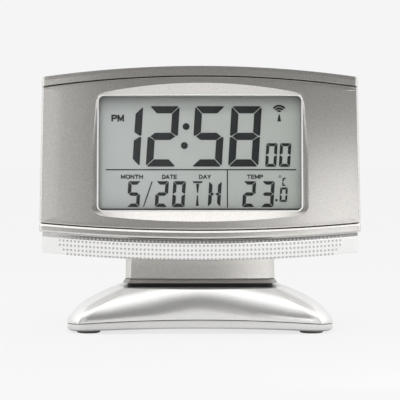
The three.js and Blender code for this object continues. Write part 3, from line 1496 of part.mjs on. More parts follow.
place(head, "front_housing", frontHousing(), "silver");
place(head, "rear_housing", rearHousing(), "backSilver");
place(head, "top_trim", trim(1, TOP_TRIM_THICKNESS), "silver");
place(head, "bottom_trim", bottomTrim(), "silver");
place(display, "window_lens", lensPlate(), "clear");
place(display, "lcd_cell", lcdCell(), "lcdGreen");
place(display, "lcd_holder", lcdHolder(), "darkPlastic");
place(display, "backlight_panel", backlightPanel(), "lightPlastic");
place(display, "zebra_strip", zebraStrip(), "rubber");

place(head, "main_board", mainBoard(), "boardGreen");
place(head, "clock_chip", chipBlob(), "blackResin");
place(head, "quartz_crystal", quartzCrystal(), "steel");
place(head, "keypad_mat", keypadMat(), "rubber");
place(head, "slide_switch", slideSwitch(), "blackResin");
place(head, "temperature_sensor", temperatureSensor(), "blackResin");
const ferrite = rodAlongX(aerialDepth, aerialRise, FERRITE_RADIUS, around(0, FERRITE_LENGTH));
place(head, "ferrite_rod", ferrite, "ferrite");
place(head, "antenna_coil", antennaCoil(), "copper");
place(head, "buzzer", buzzerDisc(), "brass");
place(head, "snooze_board", snoozeBoard(), "boardGreen");
place(head, "snooze_switch", snoozeSwitch(), "blackResin");
place(head, "snooze_lead", snoozeLead(), "greyWire");

place(head, "battery_upper", batteryCell(1, upperCell), "cellJacket");
place(head, "battery_lower", batteryCell(-1, lowerCell), "cellJacket");
place(head, "contact_bridge", contactBridge(), "steel");
place(head, "contact_positive", contactPositive(), "steel");
place(head, "contact_negative", contactNegative(), "steel");
place(head, "battery_lead_positive", batteryLead(upperCell, POSITIVE_LEAD_END), "redWire");
place(head, "battery_lead_negative", batteryLead(lowerCell, NEGATIVE_LEAD_END), "blackWire");

mirrorPairs.forEach(([side, rise], index) => {
  const x = side * housingScrewSide;
  const tip = bow(x) + HOUSING_SCREW_STOP + FIT;
  const screw = screwForward(x, rise * HOUSING_SCREW_RISE, housingScrewSeat, tip, true);
  place(head, `housing_screw_${index + 1}`, screw, "steel");
});
sides.forEach((side, index) => {
  const x = side * boardScrewSide;
  const boardScrew = screwForward(x, 0, boardBack, bow(x) + BOARD_SCREW_STOP + FIT, false);
  place(head, `board_screw_${index + 1}`, boardScrew, "steel");
  const headScrew = screwUpward(side * HEAD_SCREW_SPACING, neckMiddle, neckLid, headScrewTip, false);
  place(head, `head_screw_${index + 1}`, headScrew, "steel");
});

const keyNames = ["set_key", "alarm_key", "plus_key", "minus_key", "wave_key"];
keyNames.forEach((name, index) => {
  place(head, name, rearKey(keyPlaces[index]), "keyGrey");
});
place(head, "alarm_slider", alarmSlider(), "keyGrey");
place(head, "battery_door", batteryDoor(), "backSilver");
place(head, "snooze_bar", snoozeBar(), "brightSilver");

export default clock;
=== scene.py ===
"""Visual model of a digital alarm clock on a stand, in a white studio."""
import json
import math

import bmesh
import bpy
from mathutils import Matrix, Vector

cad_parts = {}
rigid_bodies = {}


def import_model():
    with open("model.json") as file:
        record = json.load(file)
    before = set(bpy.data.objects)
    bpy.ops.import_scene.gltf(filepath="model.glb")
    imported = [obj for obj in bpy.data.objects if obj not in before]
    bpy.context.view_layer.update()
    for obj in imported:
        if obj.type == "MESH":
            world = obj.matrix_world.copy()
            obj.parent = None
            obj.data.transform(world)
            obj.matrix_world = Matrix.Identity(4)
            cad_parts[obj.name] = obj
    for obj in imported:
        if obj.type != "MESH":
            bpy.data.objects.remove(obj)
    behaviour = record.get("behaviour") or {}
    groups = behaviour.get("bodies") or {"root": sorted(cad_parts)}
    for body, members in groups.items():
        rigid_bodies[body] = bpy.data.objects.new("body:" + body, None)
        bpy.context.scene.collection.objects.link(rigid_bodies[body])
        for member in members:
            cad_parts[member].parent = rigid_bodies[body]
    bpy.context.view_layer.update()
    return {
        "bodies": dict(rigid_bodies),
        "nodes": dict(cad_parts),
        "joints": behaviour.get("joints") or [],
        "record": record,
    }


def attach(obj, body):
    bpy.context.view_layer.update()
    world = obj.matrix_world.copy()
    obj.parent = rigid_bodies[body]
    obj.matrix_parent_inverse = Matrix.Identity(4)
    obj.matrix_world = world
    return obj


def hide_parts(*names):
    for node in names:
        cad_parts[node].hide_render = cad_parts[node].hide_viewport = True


MM = 0.001
WELD = 1e-7
TINY = 1e-6

# Sizes in millimetres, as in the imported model: head
FIT = 0.3
WALL = 2.0
OVERRUN = 1.0
HEAD_TILT = math.radians(5.0)
HEAD_SPLAY = 0.00018
HEAD_DEPTH = 36.7
BODY_HALF_WIDTH = 75.3
BODY_HALF_HEIGHT = 35.85
BOW_RADIUS = 300.0
ARCH_RISE = 3.9
PARTING_DEPTH = 17.1
REAR_CORNER = 6.0
REAR_CHAMFER = 1.2
FRONT_CORNER = 1.9
FRONT_EDGE = 0.45
PANEL_CORNER = 0.8
LEAST_CORNER = 0.2
EDGE_BLEND = 3.0
EDGE_PROBE = 0.5
# Window and display
WINDOW_HALF_WIDTH = 47.65
WINDOW_HALF_HEIGHT = 27.05
WINDOW_CORNER = 2.4
LIP_DEPTH_MIDDLE = 4.0
LIP_DEPTH_END = 4.9
WINDOW_RISE = 0.4
DISPLAY_RISE = 0.65
BEVEL_RISE_MIDDLE = 5.4
BEVEL_RISE_END = 2.4
BEVEL_RISE_TOP_END = 0.9
BEVEL_SIDE_WIDTH = 3.2
BEVEL_TOP_TAPER = 0.75
BEVEL_COVE = 0.2
RIM_RADIUS = 0.36
RIM_OUTSET = 0.28
RIM_LIFT = 0.12
BEZEL_BACK = 8.4
LENS_MARGIN = 1.8
LENS_FRONT = 8.55
LENS_THICKNESS = 1.5
LENS_CORNER = 1.0
LCD_FRONT = 10.2
INK_FRONT = LCD_FRONT - 0.1
INK_BACK = LCD_FRONT - 0.04
REAR_INK = 0.05
# Painted shade on the display glass, for the frame's shadow: its reach down from the top and in from
# the left, and its darkest share there
GLASS_SHADE_TOP = 4.2
GLASS_SHADE_SIDE = 2.4
GLASS_DARK_TOP = 0.45
GLASS_DARK_SIDE = 0.75
# Mouldings
TRIM_GAP = 0.5
TOP_TRIM_THICKNESS = 4.5
BOTTOM_TRIM_THICKNESS = 3.6
TRIM_REACH = 0.8
TRIM_TIER_HEIGHT = 2.5
TRIM_TIER_DEPTH = 0.5
TRIM_LEAN = 0.3
BROW_HEIGHT = 1.05
BROW_DEPTH = 0.75
SILL_HEIGHT = 0.65
SILL_DEPTH = 0.4
# Snooze bar and its dots
BAR_HALF_WIDTH = 73.8
BAR_GAP = 0.4
BAR_HEIGHT = 9.4
BAR_SETBACK = 1.0
BAR_SLOPE_HEIGHT = 1.9
BAR_SLOPE_DEPTH = 0.3
BAR_UNDERCUT_DEPTH = 1.7
BAR_LIP = 0.45
BAR_DEPTH = 8.6
BAR_WALL = 1.8
DOT_SPACING = 1.83
DOT_RADIUS = 0.58
DOT_HEIGHT = 0.4
DOT_SINK = 0.1
# Neck, collar and the plinth under it
NECK_HALF_WIDTH = 34.8
NECK_HALF_DEPTH = 11.5
NECK_CHAMFER_SIDE = 2.5
NECK_CHAMFER_FRONT = 4.5
NECK_DRAFT = 0.025
NECK_BOW_RADIUS = 300.0
NECK_MIDDLE = 24.2
NECK_FOOT = 24.1
NECK_HEIGHT = 17.5
COLLAR_HALF_WIDTH = 36.4
COLLAR_HALF_DEPTH = 13.1
COLLAR_TAPER = 1.2
COLLAR_EDGE = 0.5
COLLAR_BOTTOM = 22.15
COLLAR_TOP = 23.95
PLINTH_TOP = 22.0
PLINTH_INSET = 2.0
PLINTH_SINK = 0.5
# Base and feet
BASE_HALF_WIDTH = 62.6
BASE_HALF_DEPTH = 31.0
BASE_HEIGHT = 21.2
BASE_PLATEAU = 20.4
BASE_SIDE_CURVE = 1.75
BASE_FACE_TOP = 10.1
BASE_FACE_FALL = 11.0
BASE_FACE_REACH = 45.0
BASE_FACE_SPREAD = 1.5
BASE_SLOPE_MIDDLE = 0.87
BASE_SLOPE_SIDE = 2.0
BASE_BEND_MIDDLE = 1.6
BASE_BEND_SIDE = 1.0
BASE_TUCK = 0.5
BASE_CORNER_SIDE = 11.0
BASE_CORNER_FRONT = 18.0
BASE_ARCH_RADIUS = 760.0
PLATE_ARCH_RADIUS = 1100.0
BASE_SHELL = 2.2
BASE_LIP = 1.0
SHOULDER_CORNER = 9.0
PLINTH_CORNER = 3.0
SKIRT_HEIGHT = 3.36
PARTING_GAP = 0.35
PLATE_INSET = 0.2
PLATE_ROUND = 0.7
PLATE_CLEARANCE = 1.3
PLATE_CORE = 6.0
FOOT_SIDE = 51.8
FOOT_FRONT = 22.0
FOOT_CLEARANCE = 1.66
FOOT_TOP = 2.56
# Keys, slider and battery door
KEY_ROW = 8.907
KEY_HALF_WIDTH = 4.5
KEY_HALF_HEIGHT = 2.8
KEY_CORNER = 2.5
KEY_LEAST_CORNER = 0.3
KEY_TOP = HEAD_DEPTH + 1.3
KEY_STEM_RADIUS = 2.0
KEY_STEM_CORNER = 1.9
KEY_STEM_TIP = 20.45
FLANGE_FRONT = 33.2
FLANGE_BACK = 34.4
FLANGE_WIDTH = 1.3
SLIDER_MIDDLE = 43.9
SLIDER_HALF_WIDTH = 3.5
SLIDER_HALF_HEIGHT = 2.3
SLIDER_EDGE = 0.3
SLIDER_INNER = HEAD_DEPTH + FIT
SLIDER_OUTER = SLIDER_INNER + 1.3
SLIDER_RIDGE_SPACING = 1.4
SLIDER_RIDGE_DEPTH = 0.4
SLIDER_END_POWER = 8
SLIDER_STEM = ((-1.6, 1.6), (19.3, 37.4), (-1.2, 1.2))
DOOR_HALF_WIDTH = 29.55
DOOR_HALF_HEIGHT = 16.0
DOOR_CORNER = 2.5
DOOR_MIDDLE = -16.993
DOOR_INSIDE = 34.7
DOOR_EDGE = 0.4
DOOR_EDGE_BREAK = 0.12
DOOR_GROOVES = 3
DOOR_GROOVE_SPACING = 1.6
DOOR_GROOVE_RADIUS = 0.45
DOOR_GROOVE_HALF_LENGTH = 3.5
LATCH_SIDE = 6.0
LATCH_SLOT_WIDTH = 0.9
LATCH_LENGTH = 7.0
# Screws, the pin behind the bar and the cells
SCREW_RADIUS = 1.45
SCREW_TIP = 0.2
SCREW_POINT = 1.2
SCREW_TOP = 1.5
SCREW_CROSS_LENGTH = 1.35
SCREW_CROSS_WIDTH = 0.35
SCREW_CROSS_TAPER = 0.75
SCREW_CROSS_FLOOR = 0.7
HOUSING_SCREW_SIDE = 65.8
HOUSING_SCREW_RISE = 24.0
HOUSING_SCREW_SEAT = 20.0
HOUSING_SCREW_LENGTH = 8.245
BASE_SCREW_SIDE = 40.0
BASE_SCREW_FRONT = 17.0
BASE_SCREW_SEAT = 3.924
BASE_SCREW_LENGTH = 9.66
BASE_WELL_RADIUS = 3.0
PUSHER_RISE = -45.45
CELL_HALF_LENGTH = 27.0

# Mesh fineness: segments along, up and in each corner of a loop
FRONT_COUNTS = (48, 24, 8)
LENS_COUNTS = (24, 14, 4)
BASE_COUNTS = (28, 12, 10)
SPAN_COUNT = 72
END_COUNT = 8
EDGE_COUNT = 5
BASE_LEVELS = 24
NECK_LEVELS = 8
RIM_SIDES = 10
KEY_COUNTS = (6, 3, 6)
DOOR_COUNTS = (30, 18, 6)
SLIDER_STATIONS = 56
ROD_SIDES = 24
FOOT_SIDES = 40
DOT_SIDES = 10
DOT_LEVELS = 3
COLON_SIDES = 28
POINT_SIDES = 20
ARC_STEPS = 14
NECK_DIVISIONS = (4, 2, 24, 2)
SCREW_SPOKES = (30.0, 45.0, 60.0)
PANEL_SHARES = (0.03, 0.1, 0.25, 0.45, 0.65, 0.85)
BEVEL_SHARES = (0.06, 0.2, 0.35, 0.5, 0.65, 0.8, 0.94)
# Rounded lip of the window: how far out and how far behind its edge each ring lies
RIM_PROFILE = ((0.0, 0.3), (0.03, 0.1), (0.11, -0.03), (0.3, -0.23))
# Rows of grip dots: share along an edge of the section, that edge and columns either side
DOT_ROWS = [(0.62, 1, 36), (0.16, 2, 36), (0.46, 2, 36), (0.75, 2, 35), (1.03, 2, 34)]
# Foot: radius and height
FOOT_PROFILE = ((3.0, 0.0), (4.7, 0.0), (5.2, 0.12), (5.48, 0.45), (5.55, 0.9), (5.55, FOOT_TOP))
# Middle of each key along the back
KEY_PLACES = {
    "set_key": -44.2,
    "alarm_key": -27.2,
    "plus_key": -10.2,
    "minus_key": 6.8,
    "wave_key": 23.8,
}
# Pillow top of a key: inset from its outline and depth below its top
KEY_CROWN = ((0.0, 0.85), (0.05, 0.58), (0.2, 0.38), (0.5, 0.24), (1.1, 0.1), (1.8, 0.02), (2.3, 0.0))
# Pan head of a screw: radius and height above its seat
SCREW_HEAD = ((2.69, 0.0), (2.56, 0.35), (2.36, 0.8), (2.1, 1.15), (1.8, 1.36), (1.5, 1.47))
# Pin behind the snooze bar: radius and depth, from its foot on the bar to its tip
PUSHER_PROFILE = ((1.9, 2.8), (2.2, 3.5), (2.2, 13.9), (2.0, 14.2), (1.5, 14.3))
# Rounding of the edges of each kind of piece: width, segments and the least angle in degrees
ROUNDING = {
    "front": (0.3, 3, 28.0),
    "trim": (0.35, 3, 20.0),
    "bar": (0.3, 3, 15.0),
    "bar_end": (0.2, 2, 28.0),
    "pane": (0.15, 2, 28.0),
    "neck": (0.35, 3, 28.0),
    "collar": (0.25, 3, 28.0),
    "base": (0.7, 4, 30.0),
    "plinth": (0.2, 2, 28.0),
    "plate": (0.3, 3, 28.0),
    "foot": (0.15, 2, 28.0),
    "key": (0.15, 2, 60.0),
    "slider": (0.12, 2, 60.0),
    "door": (0.12, 2, 40.0),
    "screw": (0.05, 2, 50.0),
    "pin": (0.1, 2, 50.0),
}

# Display
DIGIT_SLANT = 0.061
BIG_DIGIT = {"size": (14.3, 28.7), "thick": 3.45, "gap": 0.24}
SECONDS_DIGIT = {"size": (5.3, 11.2), "thick": 1.45, "gap": 0.14}
DATE_DIGIT = {"size": (5.95, 12.2), "thick": 1.65, "gap": 0.16}
TENTHS_DIGIT = {"size": (3.6, 6.8), "thick": 1.0, "gap": 0.12}
SIGN_DIGIT = {"size": (1.9, 3.9), "thick": 0.72, "gap": 0.08}
GLYPHS = {
    "0": "abcdef",
    "1": "bc",
    "2": "abged",
    "3": "abgcd",
    "5": "afgcd",
    "8": "abcdefg",
    "C": "afed",
    "H": "fbechk",
}
# Each digit: glyph, form, left edge and foot
DIGITS = [
    ("1", BIG_DIGIT, -42.84, -6.23),
    ("2", BIG_DIGIT, -25.6, -6.23),
    ("5", BIG_DIGIT, -4.01, -6.23),
    ("8", BIG_DIGIT, 13.22, -6.23),
    ("0", SECONDS_DIGIT, 30.7, -6.34),
    ("0", SECONDS_DIGIT, 37.17, -6.34),
    ("5", DATE_DIGIT, -34.5, -25.32),
    ("2", DATE_DIGIT, -21.35, -25.32),
    ("0", DATE_DIGIT, -13.3, -25.32),
    ("H", DATE_DIGIT, 3.6, -25.32),
    ("2", DATE_DIGIT, 19.85, -25.32),
    ("3", DATE_DIGIT, 28.6, -25.32),
    ("0", TENTHS_DIGIT, 37.4, -22.9),
    ("C", SIGN_DIGIT, 38.7, -15.4),
]
# Each word: text, left, right, foot, top and thickness of stroke
WORDS = [
    ("PM", -41.9, -35.9, 15.15, 18.4, 0.78),
    ("MONTH", -37.3, -26.9, -12.06, -10.0, 0.44),
    ("DATE", -17.9, -10.9, -12.06, -10.0, 0.44),
    ("DAY", -0.47, 5.2, -12.06, -10.0, 0.44),
    ("TEMP", 22.2, 29.75, -12.06, -10.0, 0.44),
]
# Words printed on the back, each with the place of its middle
REAR_WORDS = [
    ("SET", -44.2),
    ("ALARM", -27.2),
    ("+", -10.2),
    ("-", 6.8),
    ("WAVE", 23.8),
    ("OFF", 42.6),
    ("ON", 49.4),
]
REAR_LETTER = 1.95
REAR_STROKE = 0.34
REAR_WORD_LOW = 13.2
REAR_WORD_HIGH = 15.5
# Strokes of each letter on a grid six high, each a run of points
LETTER_HEIGHT = 6.0
LETTER_SPACE = 1.9
LETTERS = {
    "A": [[(0, 0), (2.1, 6), (4.2, 0)], [(0.8, 2), (3.4, 2)]],
    "D": [[(0, 0), (0, 6), (2.4, 6), (4, 4.4), (4, 1.6), (2.4, 0), (0, 0)]],
    "E": [[(3.6, 0), (0, 0), (0, 6), (3.6, 6)], [(0, 3), (3.2, 3)]],
    "F": [[(0, 0), (0, 6), (3.6, 6)], [(0, 3.1), (3.2, 3.1)]],
    "H": [[(0, 0), (0, 6)], [(4, 0), (4, 6)], [(0, 3), (4, 3)]],
    "L": [[(0, 6), (0, 0), (3.4, 0)]],
    "M": [[(0, 0), (0, 6), (2.4, 1), (4.8, 6), (4.8, 0)]],
    "N": [[(0, 0), (0, 6), (4, 0), (4, 6)]],
    "O": [
        [(1.3, 0), (0, 1.5), (0, 4.5), (1.3, 6), (3.3, 6), (4.6, 4.5), (4.6, 1.5), (3.3, 0), (1.3, 0)],
    ],
    "P": [[(0, 0), (0, 6), (2.8, 6), (4, 5.1), (4, 3.7), (2.8, 2.8), (0, 2.8)]],
    "R": [[(0, 0), (0, 6), (2.8, 6), (4, 5.1), (4, 3.8), (2.8, 2.9), (0, 2.9)], [(2.3, 2.9), (4.1, 0)]],
    "S": [
        [(4, 5.1), (3, 6), (1, 6), (0, 5.1), (0, 3.9), (1, 3.1), (3, 2.9), (4, 2.1), (4, 0.9), (3, 0)],
        [(3, 0), (1, 0), (0, 0.9)],
    ],
    "T": [[(0, 6), (4, 6)], [(2, 6), (2, 0)]],
    "V": [[(0, 6), (2.1, 0), (4.2, 6)]],
    "W": [[(0, 6), (1.4, 0), (2.8, 5), (4.2, 0), (5.6, 6)]],
    "Y": [[(0, 6), (2, 2.8), (4, 6)], [(2, 2.8), (2, 0)]],
    "+": [[(0, 3), (4, 3)], [(2, 0.9), (2, 5.1)]],
    "-": [[(0, 3), (4, 3)]],
}
# Segments of a digit: corners as shares of their thickness, and gaps at a parted middle
SEGMENT_NICK = 0.3
SEGMENT_SHOULDER = 0.25
SEGMENT_TIP = 0.35
SEGMENT_PARTING = 1.5
# Round ink: colon, decimal point and degree sign
COLON = ((-6.57, 12.76), (-7.37, 3.76))
COLON_RADIUS = 1.65
POINT = (36.0, -22.1)
POINT_RADIUS = 0.6
DEGREE = (37.7, -10.95)
DEGREE_OUTER = 0.62
DEGREE_INNER = 0.4
# Reception sign: radius and half angle of each arc
WAVE_MIDDLE = (37.4, 19.35)
WAVE_THICKNESS = 0.9
WAVES = ((3.75, 0.92), (2.5, 0.9), (1.3, 0.95))
# Four-cornered ink: two dividing lines, the mast, the date stroke and three parts of the letter T
PATCHES = (
    ((-44.4, -7.98), (45.4, -7.98), (45.4, -7.42), (-44.4, -7.42)),
    ((12.65, -25.6), (13.2, -25.6), (13.2, -7.9), (12.65, -7.9)),
    ((36.55, 15.2), (38.35, 15.2), (37.7, 18.5), (37.2, 18.5)),
    ((-26.9, -25.2), (-26.3, -25.2), (-22.25, -13.2), (-22.85, -13.2)),
    ((-3.6, -13.15), (1.45, -13.15), (0.75, -14.05), (-2.9, -14.05)),
    ((-1.85, -14.3), (-0.35, -14.3), (-0.85, -18.6), (-1.4, -18.6)),
    ((-1.45, -19.8), (-0.95, -19.8), (-0.6, -24.8), (-1.95, -24.8)),
)

# Grained finishes: colour, roughness, metal, scale and contrast of the grain, relief, rounding of edges
SPECKLED = {
    "housing_silver": ((0.73, 0.71, 0.685), 0.3, 0.92, 1500.0, 0.06),
    "neck_silver": ((0.803, 0.781, 0.7535), 0.32, 0.7, 1500.0, 0.06),
    # Window rim: a lighter, less metallic copy of the housing paint, as a painted highlight
    "rim_painted_highlight": ((0.93, 0.93, 0.92), 0.35, 0.25, 1500.0, 0.02),
    "bar_silver": ((0.9, 0.895, 0.89), 0.16, 0.95, 1500.0, 0.02),
    # Grip dots: a darker grey as painted shade for the shading round their domes
    "grip_shaded_grey": ((0.66, 0.65, 0.64), 0.18, 0.95, 1800.0, 0.05),
    "collar_grey": ((0.42, 0.405, 0.39), 0.4, 0.7, 2200.0, 0.05, 0.03),
    "back_silver": ((0.5, 0.485, 0.47), 0.45, 0.5, 1800.0, 0.06, 0.1, 0.3),
    "key_grey": ((0.17, 0.165, 0.16), 0.45, 0.1, 1800.0, 0.08, 0.1, 0.2),
    "label_grey": ((0.06, 0.06, 0.06), 0.5, 0.0, 1500.0, 0.15),
    "frame_black": ((0.025, 0.025, 0.026), 0.55, 0.0, 1500.0, 0.2, 0.1, 0.2),
    "light_plate": ((0.8, 0.79, 0.74), 0.5, 0.0, 800.0, 0.04, 0.05, 0.2),
    "rubber_grey": ((0.14, 0.135, 0.13), 0.75, 0.0, 1600.0, 0.15, 0.25, 0.2),
    "resin_black": ((0.012, 0.012, 0.013), 0.35, 0.0, 1200.0, 0.3, 0.1, 0.2),
    "steel": ((0.55, 0.55, 0.56), 0.28, 1.0, 1400.0, 0.08, 0.08, 0.15),
    "ferrite_black": ((0.03, 0.027, 0.025), 0.7, 0.1, 1500.0, 0.3, 0.2, 0.2),
    "buzzer_brass": ((0.55, 0.4, 0.14), 0.3, 1.0, 900.0, 0.08, 0.08, 0.2),
    "wire_red": ((0.35, 0.015, 0.012), 0.45, 0.0, 1200.0, 0.12, 0.08),
    "wire_black": ((0.012, 0.012, 0.012), 0.45, 0.0, 1200.0, 0.3, 0.08),
    "wire_grey": ((0.2, 0.2, 0.2), 0.45, 0.0, 1200.0, 0.12, 0.08),
}
# Paint of the base, with painted shade where another surface comes close
SHADED_PAINT = {
    "base_silver": ((0.8, 0.795, 0.785), 0.27, 0.75, 1500.0, 0.02),
    "plate_silver": ((0.8, 0.795, 0.785), 0.29, 0.6, 1500.0, 0.02),
}
PAINT_SHADE_REACH = 4.0
# Grain: depth of its relief and where its two tones begin and end
GRAIN_DETAIL = 4.0
GRAIN_DEPTH = 0.2
EDGE_SAMPLES = 4
TONE_DARK_END = 0.4
TONE_LIGHT_START = 0.6

# Studio, in metres: floor, with a painted contact shadow close to the feet and a painted pool of light
# round them in gloss
WHITE = (0.913, 0.913, 0.913)
FLOOR_COLOUR = (0.82, 0.82, 0.81, 1)
FLOOR_GLOW = 0.9
CONTACT_GLOW = 0.82
CONTACT_REACH = 0.006
CONTACT_LEAST = 0.1
CONTACT_MOST = 0.22
POOL_NEAR = 0.2
POOL_FAR = 0.42
POOL_REST = 0.2
FLOOR_REACH = 20.0
# How far the grey room ahead comes round to the sides
SIDE_REACH = 0.2
# Sky from the horizon ahead, over the top, to the horizon behind
SKY_STOPS = [
    (0.0, (0.12, 0.117, 0.114)),
    (0.2, (0.14, 0.137, 0.134)),
    (0.28, (0.4, 0.4, 0.395)),
    (0.36, (1.05, 1.05, 1.05)),
    (0.42, (1.6, 1.6, 1.6)),
    (0.53, (1.6, 1.6, 1.6)),
    (0.65, (1.3, 1.3, 1.3)),
    (0.85, (1.05, 1.05, 1.05)),
    (0.93, WHITE),
    (1.0, WHITE),
]
# Lamps: place, target and size in metres, and power
LAMPS = {
    "softbox_left": ((-0.6, -0.56, 0.22), (0.0, 0.0, 0.08), (0.45, 0.5), 0.35),
    "fill_above": ((0.0, -0.55, 0.75), (0.0, 0.0, 0.085), (0.5, 0.3), 2.8),
    "edge_left": ((-0.5, -0.08, 0.09), (0.0, 0.0, 0.08), (0.12, 0.3), 0.2),
    "edge_right": ((0.5, -0.08, 0.09), (0.0, 0.0, 0.08), (0.12, 0.3), 0.2),
    "card_right": ((0.163, -0.1445, 0.06), (0.06, -0.01, 0.06), (0.128, 0.1), 0.036),
    "card_neck": ((0.085, -0.21, 0.036), (0.03, -0.015, 0.033), (0.06, 0.036), 0.017),
}
# Lamps that do not show in gloss
LAMPS_UNSEEN = ("fill_above",)
CAMERA_LENS = 145.8
CAMERA_SENSOR = 36.0
CAMERA_NEAR = 0.01
CAMERA_PLACE = (0.0, -0.774, 0.08)
CAMERA_DIP = math.radians(1.4)

ARCH_RADIUS = (BODY_HALF_WIDTH**2 + ARCH_RISE**2) / (2 * ARCH_RISE)


def mix(start, end, share):
    return start + (end - start) * share


def mixed(start, end, share):
    return tuple(mix(a, b, share) for a, b in zip(start, end))


def circle(count):
    """Points round the unit circle."""
    turns = [2 * math.pi * k / count for k in range(count)]
    return [(math.cos(turn), math.sin(turn)) for turn in turns]


def clamped_share(value, start, end):
    return min(1.0, max(0.0, (value - start) / (end - start)))


def drop(radius, x):
    """Depth of a circular arc of that radius at x."""
    return radius - math.sqrt(radius**2 - x**2)


def bow(x):
    return drop(BOW_RADIUS, x)


def body_top(x):
    return BODY_HALF_HEIGHT - drop(ARCH_RADIUS, x)


def trim_inside(x):
    return body_top(x) + TRIM_GAP


def bottom_trim_outside(x):
    return trim_inside(x) + BOTTOM_TRIM_THICKNESS


def bar_top(x):
    return bottom_trim_outside(x) + BAR_GAP


def underside(x):
    return FOOT_CLEARANCE + drop(BASE_ARCH_RADIUS, FOOT_SIDE) - drop(BASE_ARCH_RADIUS, x)


def parting_line(x):
    return underside(x) + SKIRT_HEIGHT


def splayed(points):
    """The head widens a little towards its lower edge."""
    return [(x * (1 - HEAD_SPLAY * z), y, z) for x, y, z in points]


def head_matrix():
    """Places the head's own frame, with its middle at zero, over the base."""
    height = NECK_FOOT + NECK_HEIGHT
    height += NECK_MIDDLE * math.sin(HEAD_TILT) + bottom_trim_outside(0) * math.cos(HEAD_TILT)
    foot = (NECK_FOOT - height + NECK_MIDDLE * math.sin(HEAD_TILT)) / math.cos(HEAD_TILT)
    forward = -(NECK_MIDDLE * math.cos(HEAD_TILT) + foot * math.sin(HEAD_TILT))
    place = Matrix.Translation((0, forward * MM, height * MM))
    return place @ Matrix.Rotation(-HEAD_TILT, 4, "X")


HEAD = head_matrix()
DISPLAY = HEAD @ Matrix.Translation((0, 0, DISPLAY_RISE * MM))
LEVEL = Matrix.Identity(4)


# Mesh helpers
def rounded_loop(half_width, half_height, corner_width, corner_height, counts):
    """Rounded rectangle as pairs, anticlockwise from the foot of the right side."""
    along, up, turn = counts
    inner_x = half_width - corner_width
    inner_y = half_height - corner_height
    edges = [
        ((half_width, -inner_y), (half_width, inner_y), up),
        ((inner_x, half_height), (-inner_x, half_height), along),
        ((-half_width, inner_y), (-half_width, -inner_y), up),
        ((-inner_x, -half_height), (inner_x, -half_height), along),
    ]
    corners = [(1, 1), (-1, 1), (-1, -1), (1, -1)]
    points = []
    for quarter, (start, end, count) in enumerate(edges):
        for k in range(count):
            points.append(mixed(start, end, k / count))
        sign_x, sign_y = corners[quarter]
        for k in range(turn):
            angle = (quarter + k / turn) * math.pi / 2
            x = sign_x * inner_x + corner_width * math.cos(angle)
            y = sign_y * inner_y + corner_height * math.sin(angle)
            points.append((x, y))
    return points


def even_loop(half_width, half_height, corner, counts):
    return rounded_loop(half_width, half_height, corner, corner, counts)


def ring_faces(ring_count, size, wrap):
    faces = []
    joints = ring_count if wrap else ring_count - 1
    for ring in range(joints):
        low = ring * size
        high = ((ring + 1) % ring_count) * size
        for k in range(size):
            step = (k + 1) % size
            faces.append((low + k, low + step, high + step, high + k))
    if not wrap:
        faces.append(tuple(range(size)))
        last = (ring_count - 1) * size
        faces.append(tuple(last + k for k in range(size)))
    return faces


def link_object(name, data):
    obj = bpy.data.objects.new(name, data)
    bpy.context.scene.collection.objects.link(obj)
    return obj


def mesh_object(name, points, faces, matrix):
    """Closed mesh through points in millimetres of the given frame."""
    mesh = bpy.data.meshes.new(name)
    mesh.from_pydata([matrix @ (Vector(p) * MM) for p in points], [], faces)
    tidy = bmesh.new()
    tidy.from_mesh(mesh)
    bmesh.ops.remove_doubles(tidy, verts=tidy.verts, dist=WELD)
    bmesh.ops.recalc_face_normals(tidy, faces=tidy.faces)
    tidy.to_mesh(mesh)
    tidy.free()
    for polygon in mesh.polygons:
        polygon.use_smooth = True
    return link_object(name, mesh)


def ring_object(name, rings, matrix, wrap=False):
    points = [point for ring in rings for point in ring]
    faces = ring_faces(len(rings), len(rings[0]), wrap)
    return mesh_object(name, points, faces, matrix)


def shells_object(name, shells, matrix):
    """One mesh of several closed shells, each a list of rings."""
    points, faces = [], []
    for rings in shells:
        start = len(points)
        points += [point for ring in rings for point in ring]
        closed = ring_faces(len(rings), len(rings[0]), False)
        faces += [tuple(start + k for k in face) for face in closed]
    return mesh_object(name, points, faces, matrix)


def block_rings(x_range, y_range, z_range):
    (left, right), (low, high) = x_range, z_range
    corners = [(left, low), (right, low), (right, high), (left, high)]
    return [[(x, y, z) for x, z in corners] for y in y_range]


def carve(obj, cutter):
    """Cuts the cutter out of a piece and removes the cutter."""
    cut = obj.modifiers.new("cut", "BOOLEAN")
    cut.object = cutter
    cut.solver = "EXACT"
    shapes = bpy.context.evaluated_depsgraph_get()
    carved = bpy.data.meshes.new_from_object(obj.evaluated_get(shapes))
    obj.modifiers.remove(cut)
    obj.data = carved
    bpy.data.objects.remove(cutter)
    return obj


def soften(obj, kind):
    """Rounds the sharp edges of a piece as its kind says and evens the shading."""
    width, segments, angle = ROUNDING[kind]
    bevel = obj.modifiers.new("edge_round", "BEVEL")
    bevel.width = width * MM
    bevel.segments = segments
    bevel.limit_method = "ANGLE"
    bevel.angle_limit = math.radians(angle)
    bevel.use_clamp_overlap = True
    normals = obj.modifiers.new("even_shading", "WEIGHTED_NORMAL")
    normals.keep_sharp = True
    return obj


def dress(obj, body, slot, material, *nodes):
    """Puts a piece on its body, hides the nodes it stands for and gives it its finish."""
    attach(obj, body)
    if nodes:
        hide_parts(*nodes)
    obj.data.materials.clear()
    obj.data.materials.append(material)
    return obj


# Material helpers
def fill(tree, node, inputs):
    """Sets inputs of a node, each to a value or to the output of another node."""
    for name, value in inputs.items():
        if isinstance(value, bpy.types.NodeSocket):
            tree.links.new(value, node.inputs[name])
        else:
            node.inputs[name].default_value = value
    return node


